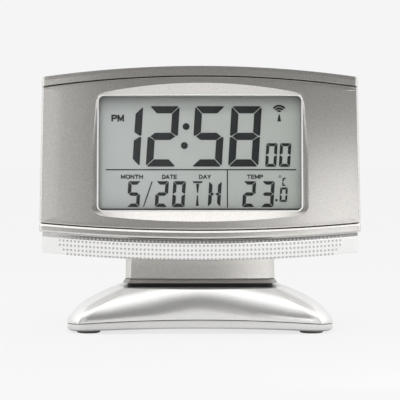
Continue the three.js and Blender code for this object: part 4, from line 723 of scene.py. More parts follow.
def add_node(tree, kind, inputs=None, **settings):
    node = tree.nodes.new("ShaderNode" + kind)
    for name, value in settings.items():
        setattr(node, name, value)
    return fill(tree, node, inputs or {})


def new_material(name):
    material = bpy.data.materials.new(name)
    material.use_nodes = True
    tree = material.node_tree
    return material, tree, tree.nodes["Principled BSDF"]


def object_place(tree):
    return add_node(tree, "TexCoord").outputs["Object"]


def grain(tree, scale, detail):
    inputs = {"Vector": object_place(tree), "Scale": scale, "Detail": detail}
    return add_node(tree, "TexNoise", inputs).outputs["Fac"]


def value_range(tree, source, start, end, low=0.0, high=1.0):
    """Turns a source that runs from start to end into one that runs from low to high."""
    inputs = {"Value": source, "From Min": start, "From Max": end, "To Min": low, "To Max": high}
    return add_node(tree, "MapRange", inputs).outputs["Result"]


def place_along(tree, axis, start, end):
    """Share from 0 to 1 of the way along one axis of the object, in metres."""
    split = add_node(tree, "SeparateXYZ", {"Vector": object_place(tree)})
    return value_range(tree, split.outputs[axis], start, end)


def colour_stops(tree, source, stops, interpolation="LINEAR"):
    ramp = add_node(tree, "ValToRGB", {"Fac": source})
    ramp.color_ramp.interpolation = interpolation
    elements = ramp.color_ramp.elements
    for element, (position, colour) in ((elements[0], stops[0]), (elements[1], stops[-1])):
        element.position = position
        element.color = (*colour, 1)
    for position, colour in stops[1:-1]:
        elements.new(position).color = (*colour, 1)
    return ramp.outputs["Color"]


def two_tone(tree, source, dark, light):
    return colour_stops(tree, source, [(TONE_DARK_END, dark), (TONE_LIGHT_START, light)])


def relief(tree, source, strength, edge):
    """Bump from a grain, over edges that are rounded by the given width in millimetres."""
    inputs = {"Height": source, "Strength": strength, "Distance": GRAIN_DEPTH * MM}
    if edge:
        rounding = add_node(tree, "Bevel", {"Radius": edge * MM}, samples=EDGE_SAMPLES)
        inputs["Normal"] = rounding.outputs["Normal"]
    return add_node(tree, "Bump", inputs).outputs["Normal"]


def shade(colour, factor):
    return tuple(min(1.0, channel * factor) for channel in colour)


def speckled(name, colour, roughness, metallic, scale, contrast, bump=0.0, edge=0.0):
    """Finish with fine grain in its colour, and in its relief where that is given."""
    material, tree, shader = new_material(name)
    speck = grain(tree, scale, GRAIN_DETAIL)
    tint = two_tone(tree, speck, shade(colour, 1 - contrast), shade(colour, 1 + contrast))
    fill(tree, shader, {"Base Color": tint, "Roughness": roughness, "Metallic": metallic})
    if bump:
        fill(tree, shader, {"Normal": relief(tree, speck, bump, edge)})
    return material


def shaded_paint(name, *values):
    """Speckled paint with painted shade, darker where another surface comes close."""
    material = speckled(name, *values)
    tree = material.node_tree
    tint = tree.nodes["Color Ramp"].outputs["Color"]
    # Painted shade: ambient occlusion darkens the colour near other surfaces
    painted_shade = add_node(tree, "AmbientOcclusion", {"Color": tint, "Distance": PAINT_SHADE_REACH * MM})
    fill(tree, tree.nodes["Principled BSDF"], {"Base Color": painted_shade.outputs["Color"]})
    return material


def winding_finish(name):
    """Fine bands of darker and lighter copper along the coil."""
    material, tree, shader = new_material(name)
    inputs = {"Vector": object_place(tree), "Scale": 900.0, "Distortion": 0.4}
    bands = add_node(tree, "TexWave", inputs, bands_direction="X").outputs["Fac"]
    tint = two_tone(tree, bands, (0.24, 0.07, 0.02), (0.5, 0.19, 0.07))
    normal = relief(tree, bands, 0.4, 0.0)
    fill(tree, shader, {"Base Color": tint, "Normal": normal, "Roughness": 0.35, "Metallic": 0.9})
    return material


def display_finish(name, left, right, roughness):
    """Colour that turns from left to right over the width of the display: painted shading, lighter at
    the left and darker at the right, for the fall of the light.
    """
    material, tree, shader = new_material(name)
    half = WINDOW_HALF_WIDTH * MM
    across = place_along(tree, "X", -half, half)
    speck = grain(tree, 900.0, 2.0)
    inputs = {
        "Base Color": colour_stops(tree, across, [(0, left), (1, right)]),
        "Roughness": value_range(tree, speck, 0.3, 0.7, roughness * 0.9, roughness * 1.1),
    }
    fill(tree, shader, inputs)
    return material


def glass_finish(name, left, right, roughness):
    """Display glass with painted shade along its upper edge and its left side, standing for the shadow
    of the frame.
    """
    material = display_finish(name, left, right, roughness)
    tree = material.node_tree
    colour = tree.nodes["Color Ramp"].outputs["Color"]
    top = (DISPLAY @ (Vector((0, LCD_FRONT, WINDOW_HALF_HEIGHT)) * MM)).z
    side = -WINDOW_HALF_WIDTH * MM
    down = place_along(tree, "Z", top, top - GLASS_SHADE_TOP * MM)
    across = place_along(tree, "X", side, side + GLASS_SHADE_SIDE * MM)
    for share, dark in ((down, GLASS_DARK_TOP), (across, GLASS_DARK_SIDE)):
        shadow = colour_stops(tree, share, [(0, (dark,) * 3), (1, (1.0,) * 3)])
        inputs = {"Fac": 1.0, "Color1": colour, "Color2": shadow}
        colour = add_node(tree, "MixRGB", inputs, blend_type="MULTIPLY").outputs["Color"]
    fill(tree, tree.nodes["Principled BSDF"], {"Base Color": colour})
    return material


def clear_finish(name):
    material, tree, shader = new_material(name)
    tint = two_tone(tree, grain(tree, 60.0, 2.0), (0.02, 0.021, 0.02), (0.024, 0.025, 0.024))
    fill(tree, shader, {"Base Color": tint, "Roughness": 0.04, "Alpha": 0.08})
    return material


def board_finish(name):
    """Green solder mask with lighter copper runs under it."""
    material, tree, shader = new_material(name)
    turned = {"Vector": object_place(tree), "Rotation": (math.pi / 2, 0, 0)}
    inputs = {
        "Vector": add_node(tree, "Mapping", turned).outputs["Vector"],
        "Color1": (0.008, 0.07, 0.025, 1),
        "Color2": (0.01, 0.085, 0.03, 1),
        "Mortar": (0.03, 0.17, 0.06, 1),
        "Scale": 160.0,
        "Mortar Size": 0.03,
    }
    runs = add_node(tree, "TexBrick", inputs).outputs["Color"]
    fill(tree, shader, {"Base Color": runs, "Roughness": 0.4})
    return material


def jacket_finish(name):
    """Battery jacket: a dark sleeve with a lighter band and bare steel ends."""
    material, tree, shader = new_material(name)
    steel, sleeve, band = (0.5, 0.5, 0.5), (0.02, 0.09, 0.2), (0.55, 0.56, 0.57)
    stops = [(0, steel), (0.04, sleeve), (0.3, band), (0.36, sleeve), (0.965, steel)]
    half = CELL_HALF_LENGTH * MM
    tint = colour_stops(tree, place_along(tree, "X", -half, half), stops, "CONSTANT")
    fill(tree, shader, {"Base Color": tint, "Roughness": 0.3, "Metallic": 0.4})
    return material


def make_materials():
    finish = {name: speckled(name, *values) for name, values in SPECKLED.items()}
    for name, values in SHADED_PAINT.items():
        finish[name] = shaded_paint(name, *values)
    makers = {
        "copper_wire": winding_finish,
        "board_green": board_finish,
        "cell_jacket": jacket_finish,
        "clear_window": clear_finish,
    }
    for name, maker in makers.items():
        finish[name] = maker(name)
    # Glass and ink carry a painted fall of light, lighter at the left and darker at the right
    finish["lcd_glass"] = glass_finish("lcd_glass", (0.68, 0.72, 0.71), (0.55, 0.59, 0.555), 0.5)
    finish["lcd_ink"] = display_finish("lcd_ink", (0.05, 0.055, 0.058), (0.012, 0.015, 0.016), 0.45)
    return finish


# Head shells
def window_share(x):
    """0 in the middle of the window to 1 at its sides, squared so that a curve results."""
    return min(1.0, abs(x) / WINDOW_HALF_WIDTH) ** 2


def lip_depth(x):
    """The lip of the window stands furthest forward in the middle, as the bowed front does."""
    return mix(LIP_DEPTH_MIDDLE, LIP_DEPTH_END, window_share(x))


def bevel_rise(x, z):
    """Height of the bevel beyond the lip, which runs out towards the window's corners."""
    end = BEVEL_RISE_TOP_END if z > 0 else BEVEL_RISE_END
    return mix(BEVEL_RISE_MIDDLE, end, window_share(x))


def bevel_brim():
    """Outer edge of the window's bevel, where it meets the bowed front."""
    side = WINDOW_HALF_WIDTH + BEVEL_SIDE_WIDTH
    end = WINDOW_HALF_HEIGHT + BEVEL_RISE_END
    corner_width = WINDOW_CORNER + BEVEL_SIDE_WIDTH
    loop = rounded_loop(side, end, corner_width, WINDOW_CORNER + BEVEL_RISE_END, FRONT_COUNTS)
    brim = []
    for x, z in loop:
        spare = max(abs(x) - WINDOW_HALF_WIDTH, 0.0)
        taper = BEVEL_TOP_TAPER * max(z, 0.0) / end
        height = z * (WINDOW_HALF_HEIGHT + bevel_rise(x, z)) / end
        brim.append((x - math.copysign(spare * taper, x), height + WINDOW_RISE))
    return brim


def body_loop(inset):
    """Outline of the housing: upright sides, arched top and bottom."""
    corner = max(PANEL_CORNER - inset, LEAST_CORNER)
    half_height = BODY_HALF_HEIGHT - inset
    loop = even_loop(BODY_HALF_WIDTH - inset, half_height, corner, FRONT_COUNTS)
    return [(x, z * (body_top(x) - inset) / half_height) for x, z in loop]


def window_ring(extra, depth_at):
    half_width, half_height = WINDOW_HALF_WIDTH + extra, WINDOW_HALF_HEIGHT + extra
    loop = even_loop(half_width, half_height, WINDOW_CORNER + extra, FRONT_COUNTS)
    return [(x, depth_at(x), z + WINDOW_RISE) for x, z in loop]


def bezel_back(_x):
    return BEZEL_BACK


def edge_radius(x):
    """Rounding of the front edge: small above and below, larger along the sides."""
    share = clamped_share(abs(x), BODY_HALF_WIDTH - EDGE_BLEND, BODY_HALF_WIDTH)
    return mix(FRONT_EDGE, FRONT_CORNER, share**2)


def edge_ring(turn):
    """Ring over the rounded front edge, from 0 on the face to a quarter turn on the wall."""
    ring = []
    for (x, z), (inner_x, inner_z) in zip(body_loop(0), body_loop(EDGE_PROBE)):
        radius = edge_radius(x)
        inset = radius * (1 - math.sin(turn)) / EDGE_PROBE
        lower = radius * (1 - math.cos(turn))
        ring.append((mix(x, inner_x, inset), bow(x) + lower, mix(z, inner_z, inset)))
    return splayed(ring)


def panel_ring(brim, edge, share):
    """Ring on the bowed panel between the bevel's brim and the front edge."""
    places = [mixed(start, (x, z), share) for start, (x, _, z) in zip(brim, edge)]
    return [(x, bow(x), z) for x, z in places]


def cove_ring(lip, brim, share):
    """Ring on the bevel, which is hollow beside the window and flat above and below it."""
    ring = []
    for start, end in zip(lip, brim):
        x, y, z = mixed(start, end, share)
        wide, high = abs(end[0] - start[0]), abs(end[2] - start[2])
        hollow = BEVEL_COVE * 4 * share * (1 - share) * wide / (wide + high)
        ring.append((x, y + hollow, z))
    return ring


def front_shell():
    """Bowed front with its bevelled window, a fine rim round the opening and rounded edges."""
    brim = bevel_brim()
    face = edge_ring(0.0)
    rings = [window_ring(0, bezel_back)]
    for extra, behind in RIM_PROFILE:
        rings.append(window_ring(extra, lambda x: lip_depth(x) + behind))
    edge = [(x, bow(x), z) for x, z in brim]
    rings += [cove_ring(rings[-1], edge, share) for share in BEVEL_SHARES]
    rings.append(edge)
    rings += [panel_ring(brim, face, share) for share in PANEL_SHARES]
    rings += [edge_ring(k / EDGE_COUNT * math.pi / 2) for k in range(EDGE_COUNT + 1)]
    back = PARTING_DEPTH - FIT / 2
    rings.append(splayed([(x, back, z) for x, z in body_loop(0)]))
    rings.append(splayed([(x, back, z) for x, z in body_loop(WALL)]))
    rings.append(splayed([(x, bow(x) + WALL, z) for x, z in body_loop(WALL)]))
    rings.append(window_ring(LENS_MARGIN, bezel_back))
    return ring_object("front_shell", rings, HEAD, wrap=True)


def window_rim():
    """Fine bead round the opening of the window; its lighter finish is a painted highlight."""
    rings = []
    for out, back in circle(RIM_SIDES):
        lift = RIM_RADIUS * back - RIM_LIFT
        rings.append(window_ring(RIM_OUTSET + RIM_RADIUS * out, lambda x: lip_depth(x) + lift))
    return ring_object("window_rim", rings, HEAD, wrap=True)


def span_stations(half_width):
    """Places along X, closer together over the rounded ends."""
    straight = half_width - REAR_CORNER
    turns = [k / END_COUNT * math.pi / 2 for k in range(1, END_COUNT + 1)]
    right = [straight + REAR_CORNER * math.sin(turn) for turn in turns]
    middle = [-straight + 2 * straight * k / SPAN_COUNT for k in range(SPAN_COUNT + 1)]
    return [-x for x in reversed(right)] + middle + right


def even_stations(half_width):
    return [-half_width + 2 * half_width * k / SPAN_COUNT for k in range(SPAN_COUNT + 1)]


def corner_loss(x, half_width, radius):
    past = max(0.0, abs(x) - (half_width - radius))
    return radius - math.sqrt(max(0.0, radius**2 - past**2))


def span_object(name, stations, section):
    rings = [splayed([(x, y, z) for y, z in section(x)]) for x in stations]
    return ring_object(name, rings, HEAD)


def trim_depths(x):
    """Where a trim begins at the front and ends at the back."""
    near = bow(x) + corner_loss(x, BODY_HALF_WIDTH, FRONT_CORNER) - TRIM_REACH
    return near, HEAD_DEPTH - corner_loss(x, BODY_HALF_WIDTH, REAR_CORNER)


def top_trim_section(x):
    """Two tiers at the front, of which the upper one leans back."""
    near, far = trim_depths(x)
    low = trim_inside(x)
    high = low + TOP_TRIM_THICKNESS
    step = low + TRIM_TIER_HEIGHT
    return [
        (near, low),
        (far, low),
        (far, high - REAR_CHAMFER),
        (far - REAR_CHAMFER, high),
        (near + TRIM_TIER_DEPTH + TRIM_LEAN, high),
        (near + TRIM_TIER_DEPTH, step),
        (near, step),
    ]


def bottom_trim_section(x):
    """Sloping brow above an upright face with a small chamfer below."""
    near, far = trim_depths(x)
    low = -trim_inside(x)
    high = low - BOTTOM_TRIM_THICKNESS
    return [
        (near + BROW_DEPTH, low),
        (far, low),
        (far, high + REAR_CHAMFER),
        (far - REAR_CHAMFER, high),
        (near + SILL_DEPTH, high),
        (near, high + SILL_HEIGHT),
        (near, low - BROW_HEIGHT),
    ]


def trim_shell(name, section):
    return soften(span_object(name, span_stations(BODY_HALF_WIDTH), section), "trim")


# Snooze bar
def bar_section(x, inset):
    """Front corners of the bar from its top back edge to its lower back edge."""
    top = -bar_top(x)
    bottom = top - BAR_HEIGHT + inset
    near = bow(x) - TRIM_REACH / 2 + BAR_SETBACK + inset
    back = bow(x) + BAR_DEPTH
    under = near + BAR_UNDERCUT_DEPTH
    return [
        (back, top - inset),
        (near + BAR_SLOPE_DEPTH, top - inset),
        (near, top - BAR_SLOPE_HEIGHT),
        (under, bottom + BAR_LIP),
        (under + BAR_LIP, bottom),
        (back, bottom),
    ]


def bar_channel(x):
    """Section of the hollow bar, open to the back."""
    return bar_section(x, 0) + bar_section(x, BAR_WALL)[::-1]


def bar_shell():
    return soften(span_object("bar_shell", even_stations(BAR_HALF_WIDTH), bar_channel), "bar")


def bar_end(name, side):
    """Wall that closes one end of the channel."""
    ends = sorted((side * BAR_HALF_WIDTH, side * (BAR_HALF_WIDTH - BAR_WALL)))
    return soften(span_object(name, ends, lambda x: bar_section(x, BAR_WALL)), "bar_end")


def dome_rings(place, outward):
    """Small dome on a surface, sunk a little below it, as rings that close to its peak."""
    helper = Vector((1, 0, 0))
    across = (helper - outward * helper.dot(outward)).normalized()
    along = outward.cross(across)
    rings = []
    for level in range(DOT_LEVELS + 1):
        angle = level / DOT_LEVELS * math.pi / 2
        radius = DOT_RADIUS * math.cos(angle)
        lift = DOT_HEIGHT * math.sin(angle) - (DOT_SINK if level == 0 else 0.0)
        middle = place + outward * lift
        rings.append([middle + (across * a + along * b) * radius for a, b in circle(DOT_SIDES)])
    return rings


def dot_place(x, edge, share):
    """Point on an edge of the bar's section and the direction out of its face there."""
    start, end = [Vector((x, y, z)) for y, z in bar_section(x, 0)[edge : edge + 2]]
    place = start + (end - start) * share
    place.x *= 1 - HEAD_SPLAY * place.z
    along = (end - start).normalized()
    across = Vector((math.sqrt(BOW_RADIUS**2 - x**2), x, 0)).normalized()
    outward = along.cross(across).normalized()
    return place, -outward if outward.y > 0 else outward


def grip_dots():
    domes = []
    for share, edge, reach in DOT_ROWS:
        for k in range(-reach, reach + 1):
            x = BOW_RADIUS * math.sin(k * DOT_SPACING / BOW_RADIUS)
            domes.append(dome_rings(*dot_place(x, edge, share)))
    return shells_object("grip_dots", domes, HEAD)


# Display
def window_pane():
    half_width, half_height = WINDOW_HALF_WIDTH + LENS_MARGIN, WINDOW_HALF_HEIGHT + LENS_MARGIN
    loop = even_loop(half_width, half_height, LENS_CORNER, LENS_COUNTS)
    depths = (LENS_FRONT, LENS_FRONT + LENS_THICKNESS)
    rings = [[(x, depth, z) for x, z in loop] for depth in depths]
    return soften(ring_object("window_pane", rings, DISPLAY), "pane")


# Sheets that carry ink: frame, front and back of the ink
LCD_SHEET = (DISPLAY, INK_FRONT, INK_BACK)
REAR_PRINT = HEAD @ Matrix.Translation((0, HEAD_DEPTH * MM, 0)) @ Matrix.Rotation(math.pi, 4, "Z")
REAR_SHEET = (REAR_PRINT, -REAR_INK, REAR_INK)


def digit_segments(width, height, thick, gap):
    """Polygons of the bars of a seven-bar digit, with mitred ends, from its lower left corner."""
    nick = SEGMENT_NICK * thick
    half = height / 2
    reach = thick + gap
    upper = {
        "a": [
            ((nick + gap) / 2, (nick - gap) / 2),
            (nick, 0),
            (width - nick, 0),
            (width - (nick + gap) / 2, (nick - gap) / 2),
            (width - reach, thick),
            (reach, thick),
        ],
        "f": [
            (0, nick),
            ((nick - gap) / 2, (nick + gap) / 2),
            (thick, reach),
            (thick, half - thick / 2 - gap),
            (SEGMENT_SHOULDER * thick, half - gap),
            (0, half - 2 * gap),
        ],
    }
    upper["b"] = [(width - x, fall) for x, fall in upper["f"]]
    bars = {name: [(x, height - fall) for x, fall in points] for name, points in upper.items()}
    for name, twin in (("d", "a"), ("e", "f"), ("c", "b")):
        bars[name] = list(upper[twin])
    tip = SEGMENT_TIP * thick
    bars["g"] = [
        (tip, half),
        (thick, half + thick / 2),
        (width - thick, half + thick / 2),
        (width - tip, half),
        (width - thick, half - thick / 2),
        (thick, half - thick / 2),
    ]
    near = width / 2 - SEGMENT_PARTING * gap
    bars["h"] = [(tip, half), (thick, half + thick / 2), (near, half), (thick, half - thick / 2)]
    bars["k"] = [(width - x, z) for x, z in bars["h"]]
    return bars


def ink_prism(ink, outline, sheet=LCD_SHEET):
    """Adds one flat bar of ink with the given outline in x and z."""
    matrix, front, back = sheet
    fronts = [ink.verts.new(matrix @ (Vector((x, front, z)) * MM)) for x, z in outline]
    backs = [ink.verts.new(matrix @ (Vector((x, back, z)) * MM)) for x, z in outline]
    ink.faces.new(fronts)
    ink.faces.new(list(reversed(backs)))
    for k in range(len(outline)):
        step = (k + 1) % len(outline)
        ink.faces.new((fronts[step], fronts[k], backs[k], backs[step]))


def ink_digit(ink, glyph, form, left, low):
    width, height = form["size"]
    bars = digit_segments(width, height, form["thick"], form["gap"])
    for name in GLYPHS[glyph]:
        ink_prism(ink, [(left + x + DIGIT_SLANT * z, low + z) for x, z in bars[name]])


def circle_outline(middle, radius, count=POINT_SIDES):
    x, z = middle
    return [(x + radius * a, z + radius * b) for a, b in circle(count)]


def arc_outline(middle, radius, thick, half_angle):
    """Outline of an arc whose own middle is straight above the given one."""
    x, z = middle
    turns = [math.pi / 2 + half_angle * (2 * k / ARC_STEPS - 1) for k in range(ARC_STEPS + 1)]
    ways = [(math.cos(turn), math.sin(turn)) for turn in turns]
    outer = [(x + radius * a, z + radius * b) for a, b in ways]
    inner = [(x + (radius - thick) * a, z + (radius - thick) * b) for a, b in ways]
    return outer + inner[::-1]


def ink_signs(ink):
    """Colon, dividing lines, reception sign, date stroke, letter T and degree sign."""
    for middle in COLON:
        ink_prism(ink, circle_outline(middle, COLON_RADIUS, COLON_SIDES))
    for radius, half_angle in WAVES:
        ink_prism(ink, arc_outline(WAVE_MIDDLE, radius, WAVE_THICKNESS, half_angle))
    for outline in PATCHES:
        ink_prism(ink, outline)
    ink_prism(ink, circle_outline(POINT, POINT_RADIUS))
    ring = circle_outline(DEGREE, DEGREE_OUTER)
    hole = circle_outline(DEGREE, DEGREE_INNER)
    for k in range(len(ring)):
        step = (k + 1) % len(ring)
        ink_prism(ink, [ring[k], ring[step], hole[step], hole[k]])


def ink_stroke(ink, start, end, thick, sheet):
    """Adds one straight stroke, a little longer than its ends so that strokes join."""
    start, end = Vector(start), Vector(end)
    along = (end - start).normalized() * thick / 2
    across = Vector((-along.y, along.x))
    start = start - along
    end = end + along
    corners = (start - across, end - across, end + across, start + across)
    ink_prism(ink, [tuple(corner) for corner in corners], sheet)


def letter_width(letter):
    return max(x for stroke in LETTERS[letter] for x, _ in stroke)


def ink_word(ink, text, left, right, low, high, thick, sheet=LCD_SHEET):
    total = sum(letter_width(letter) for letter in text) + LETTER_SPACE * (len(text) - 1)
    wide = (right - left - thick) / total
    tall = (high - low - thick) / LETTER_HEIGHT
    start_x, start_z = left + thick / 2, low + thick / 2
    at = 0.0
    for letter in text:
        for stroke in LETTERS[letter]:
            places = [(start_x + (at + x) * wide, start_z + z * tall) for x, z in stroke]
            for start, end in zip(places, places[1:]):
                ink_stroke(ink, start, end, thick, sheet)
        at += letter_width(letter) + LETTER_SPACE


def ink_object(name, ink):
    bmesh.ops.recalc_face_normals(ink, faces=ink.faces)
    mesh = bpy.data.meshes.new(name)
    ink.to_mesh(mesh)
    ink.free()
    return link_object(name, mesh)


def display_ink():
    ink = bmesh.new()
    for glyph, form, left, low in DIGITS:
        ink_digit(ink, glyph, form, left, low)
    ink_signs(ink)
    for word in WORDS:
        ink_word(ink, *word)
    return ink_object("display_ink", ink)


def rear_labels():
    """Printed words over the keys and the slider on the back."""
    ink = bmesh.new()
    for text, x in REAR_WORDS:
        half = len(text) * REAR_LETTER / 2
        frame = (-x - half, -x + half, REAR_WORD_LOW, REAR_WORD_HIGH)
        ink_word(ink, text, *frame, REAR_STROKE, REAR_SHEET)
    return ink_object("rear_labels", ink)


# Neck and base
def chamfered_loop(half_width, half_depth, middle):
    """Outline with long flat chamfers at the corners, its straight runs divided."""
    wide, deep = half_width - NECK_CHAMFER_SIDE, half_depth - NECK_CHAMFER_FRONT
    right = [(half_width, -deep), (half_width, deep), (wide, half_depth), (-wide, half_depth)]
    corners = right + [(-x, -y) for x, y in right]
    points = []
    for start, end, count in zip(corners, corners[1:] + corners[:1], NECK_DIVISIONS * 2):
        runs = [mixed(start, end, k / count) for k in range(count)]
        points += [(x, middle + y) for x, y in runs]
    return points


def neck_ring(share):
    """Ring of the column, from 0 under the arched trim to 1 at the level foot."""
    ring = []
    for x, y in chamfered_loop(NECK_HALF_WIDTH, NECK_HALF_DEPTH, NECK_MIDDLE):
        top = -bottom_trim_outside(x) - FIT
        if y < NECK_MIDDLE:
            y += drop(NECK_BOW_RADIUS, x)
        line = HEAD @ (Vector((0, y, 0)) * MM) / MM
        foot = (NECK_FOOT - line.z) / math.cos(HEAD_TILT)
        z = mix(top, foot, share)
        grown = x * (1 + NECK_DRAFT * (-BODY_HALF_HEIGHT - z) / NECK_HALF_WIDTH)
        ring.append((grown, y, z))
    return ring


def neck_shell():
    rings = [neck_ring(level / NECK_LEVELS) for level in range(NECK_LEVELS + 1)]
    return soften(ring_object("neck_shell", rings, HEAD), "neck")


def level_rings(levels):
    """Rings of outlines, each at a height."""
    return [[(x, y, z) for x, y in loop] for loop, z in levels]


def collar_shell():
    wide = chamfered_loop(COLLAR_HALF_WIDTH, COLLAR_HALF_DEPTH, 0)
    slim = chamfered_loop(COLLAR_HALF_WIDTH - COLLAR_TAPER, COLLAR_HALF_DEPTH - COLLAR_TAPER, 0)
    levels = ((wide, COLLAR_BOTTOM), (wide, COLLAR_BOTTOM + COLLAR_EDGE), (slim, COLLAR_TOP))
    return soften(ring_object("collar_shell", level_rings(levels), LEVEL), "collar")


def face_lean(x, z):
    """How far the face of the base lies behind its foremost line; it leans more at the sides."""
    aside = min(1.0, abs(x) / BASE_FACE_REACH) ** BASE_FACE_SPREAD
    start = max(BASE_FACE_TOP - BASE_FACE_FALL * aside, parting_line(x))
    share = clamped_share(z, start, BASE_PLATEAU)
    bend = mix(BASE_BEND_MIDDLE, BASE_BEND_SIDE, aside) + 1
    slope = mix(BASE_SLOPE_MIDDLE, BASE_SLOPE_SIDE, aside)
    lean = slope * (BASE_PLATEAU - start) * share**bend / bend
    return lean + BASE_TUCK * (1 - clamped_share(z, parting_line(BASE_HALF_WIDTH), BASE_FACE_TOP)) ** 2


def base_loop(z, inset):
    """Outline of the base at height z; it narrows to the shoulder under the collar."""
    side = clamped_share(z, parting_line(BASE_HALF_WIDTH), BASE_HEIGHT)
    half_width = mix(COLLAR_HALF_WIDTH, BASE_HALF_WIDTH, 1 - side**BASE_SIDE_CURVE)
    corner_width = mix(BASE_CORNER_SIDE, SHOULDER_CORNER, side)
    corner_depth = mix(BASE_CORNER_FRONT, SHOULDER_CORNER, side)
    half_depth = BASE_HALF_DEPTH - inset
    loop = rounded_loop(half_width - inset, half_depth, corner_width, corner_depth, BASE_COUNTS)
    return [(x, y * (1 - face_lean(x, z) / half_depth)) for x, y in loop]


def base_ring(share):
    """Ring of the dome, from 0 on the parting line to 1 on the shoulder."""
    ring = []
    for k, (x, _) in enumerate(base_loop(0, 0)):
        z = mix(parting_line(x), BASE_PLATEAU, share)
        wide, deep = base_loop(z, 0)[k]
        ring.append((wide, deep, z))
    return ring


def base_shell():
    lip = base_loop(0, BASE_SHELL)
    rings = [[(x, y, parting_line(x) + rise) for x, y in lip] for rise in (BASE_LIP, 0.0)]
    rings += [base_ring(math.sin(k / BASE_LEVELS * math.pi / 2)) for k in range(BASE_LEVELS + 1)]
    return soften(ring_object("base_shell", rings, LEVEL), "base")


def plinth_shell():
    """Socket on the base that carries the collar, in black as painted shade for the gap under the
    collar.
    """
    half_width = COLLAR_HALF_WIDTH - PLINTH_INSET
    half_depth = COLLAR_HALF_DEPTH - PLINTH_INSET
    loop = even_loop(half_width, half_depth, PLINTH_CORNER, BASE_COUNTS)
    rings = level_rings(((loop, BASE_PLATEAU - PLINTH_SINK), (loop, PLINTH_TOP)))
    return soften(ring_object("plinth_shell", rings, LEVEL), "plinth")


def plate_foot(x):
    return PLATE_CLEARANCE + drop(PLATE_ARCH_RADIUS, FOOT_SIDE) - drop(PLATE_ARCH_RADIUS, x)


def plate_lid(x):
    return parting_line(x) - PARTING_GAP


def plate_shell():
    """Bottom plate whose edge follows the arch of the base."""
    inner = base_loop(0, PLATE_INSET + PLATE_ROUND)
    outer = base_loop(0, PLATE_INSET)
    core = base_loop(0, PLATE_INSET + PLATE_CORE)
    levels = (
        (core, plate_foot, 0.0),
        (inner, plate_foot, 0.0),
        (outer, plate_foot, PLATE_ROUND),
        (outer, plate_lid, 0.0),
        (core, plate_lid, 0.0),
    )
    rings = [[(x, y, height(x) + rise) for x, y in loop] for loop, height, rise in levels]
    plate = ring_object("plate_shell", rings, LEVEL)
    return soften(carve(plate, plate_wells()), "plate")


def foot_pad(name, x, y):
    ways = circle(FOOT_SIDES)
    turned = [([(x + r * a, y + r * b) for a, b in ways], z) for r, z in FOOT_PROFILE]
    return soften(ring_object(name, level_rings(turned), LEVEL), "foot")


# Keys, slider, door and screws
def key_ring(x, inset, depth):
    corner = max(KEY_CORNER - inset, KEY_LEAST_CORNER)
    loop = even_loop(KEY_HALF_WIDTH - inset, KEY_HALF_HEIGHT - inset, corner, KEY_COUNTS)
    return [(x + across, depth, KEY_ROW + up) for across, up in loop]


def key_stem_ring(x, depth):
    loop = even_loop(KEY_STEM_RADIUS, KEY_STEM_RADIUS, KEY_STEM_CORNER, KEY_COUNTS)
    return [(x + across, depth, KEY_ROW + up) for across, up in loop]


def key_cap(name, x):
    """Key with a stem, a flange behind the wall and a cushioned top."""
    rings = [key_stem_ring(x, KEY_STEM_TIP), key_stem_ring(x, FLANGE_FRONT)]
    rings += [key_ring(x, -FLANGE_WIDTH, depth) for depth in (FLANGE_FRONT, FLANGE_BACK)]
    rings.append(key_ring(x, 0.0, FLANGE_BACK))
    rings += [key_ring(x, inset, KEY_TOP - below) for inset, below in KEY_CROWN]
    return soften(ring_object(name, rings, HEAD), "key")


def slider_ring(x):
    """Section of the slider's knob, whose top is ridged across the way it moves."""
    off = x - SLIDER_MIDDLE
    valley = (1 - math.cos(2 * math.pi * off / SLIDER_RIDGE_SPACING)) / 2
    end = abs(off / SLIDER_HALF_WIDTH) ** SLIDER_END_POWER
    top = SLIDER_OUTER - SLIDER_RIDGE_DEPTH * max(valley, end)
    half, edge = SLIDER_HALF_HEIGHT, SLIDER_EDGE
    third = edge / 3
    upper = [(SLIDER_INNER, half), (top - edge, half), (top - third, half - third), (top, half - edge)]
    section = upper + [(y, -z) for y, z in reversed(upper)]
    return [(x, y, KEY_ROW + z) for y, z in section]


def slider_knob():
    start = SLIDER_MIDDLE - SLIDER_HALF_WIDTH
    step = 2 * SLIDER_HALF_WIDTH / SLIDER_STATIONS
    knob = [slider_ring(start + k * step) for k in range(SLIDER_STATIONS + 1)]
    (left, right), depths, (low, high) = SLIDER_STEM
    across = (SLIDER_MIDDLE + left, SLIDER_MIDDLE + right)
    stem = block_rings(across, depths, (KEY_ROW + low, KEY_ROW + high))
    sides = (start, start + 2 * SLIDER_HALF_WIDTH)
    rises = (KEY_ROW - SLIDER_HALF_HEIGHT, KEY_ROW + SLIDER_HALF_HEIGHT)
    flange = block_rings(sides, (FLANGE_FRONT, FLANGE_BACK), rises)
    return soften(shells_object("slider_knob", [knob, stem, flange], HEAD), "slider")


def door_ring(inset, depth):
    half_width, half_height = DOOR_HALF_WIDTH - inset, DOOR_HALF_HEIGHT - inset
    loop = even_loop(half_width, half_height, DOOR_CORNER - inset, DOOR_COUNTS)
    return [(x, depth, DOOR_MIDDLE + z) for x, z in loop]


def rod_rings(ends, place):
    """Two circles of unit points, put where the place function says."""
    return [[place(end, a, b) for a, b in circle(ROD_SIDES)] for end in ends]


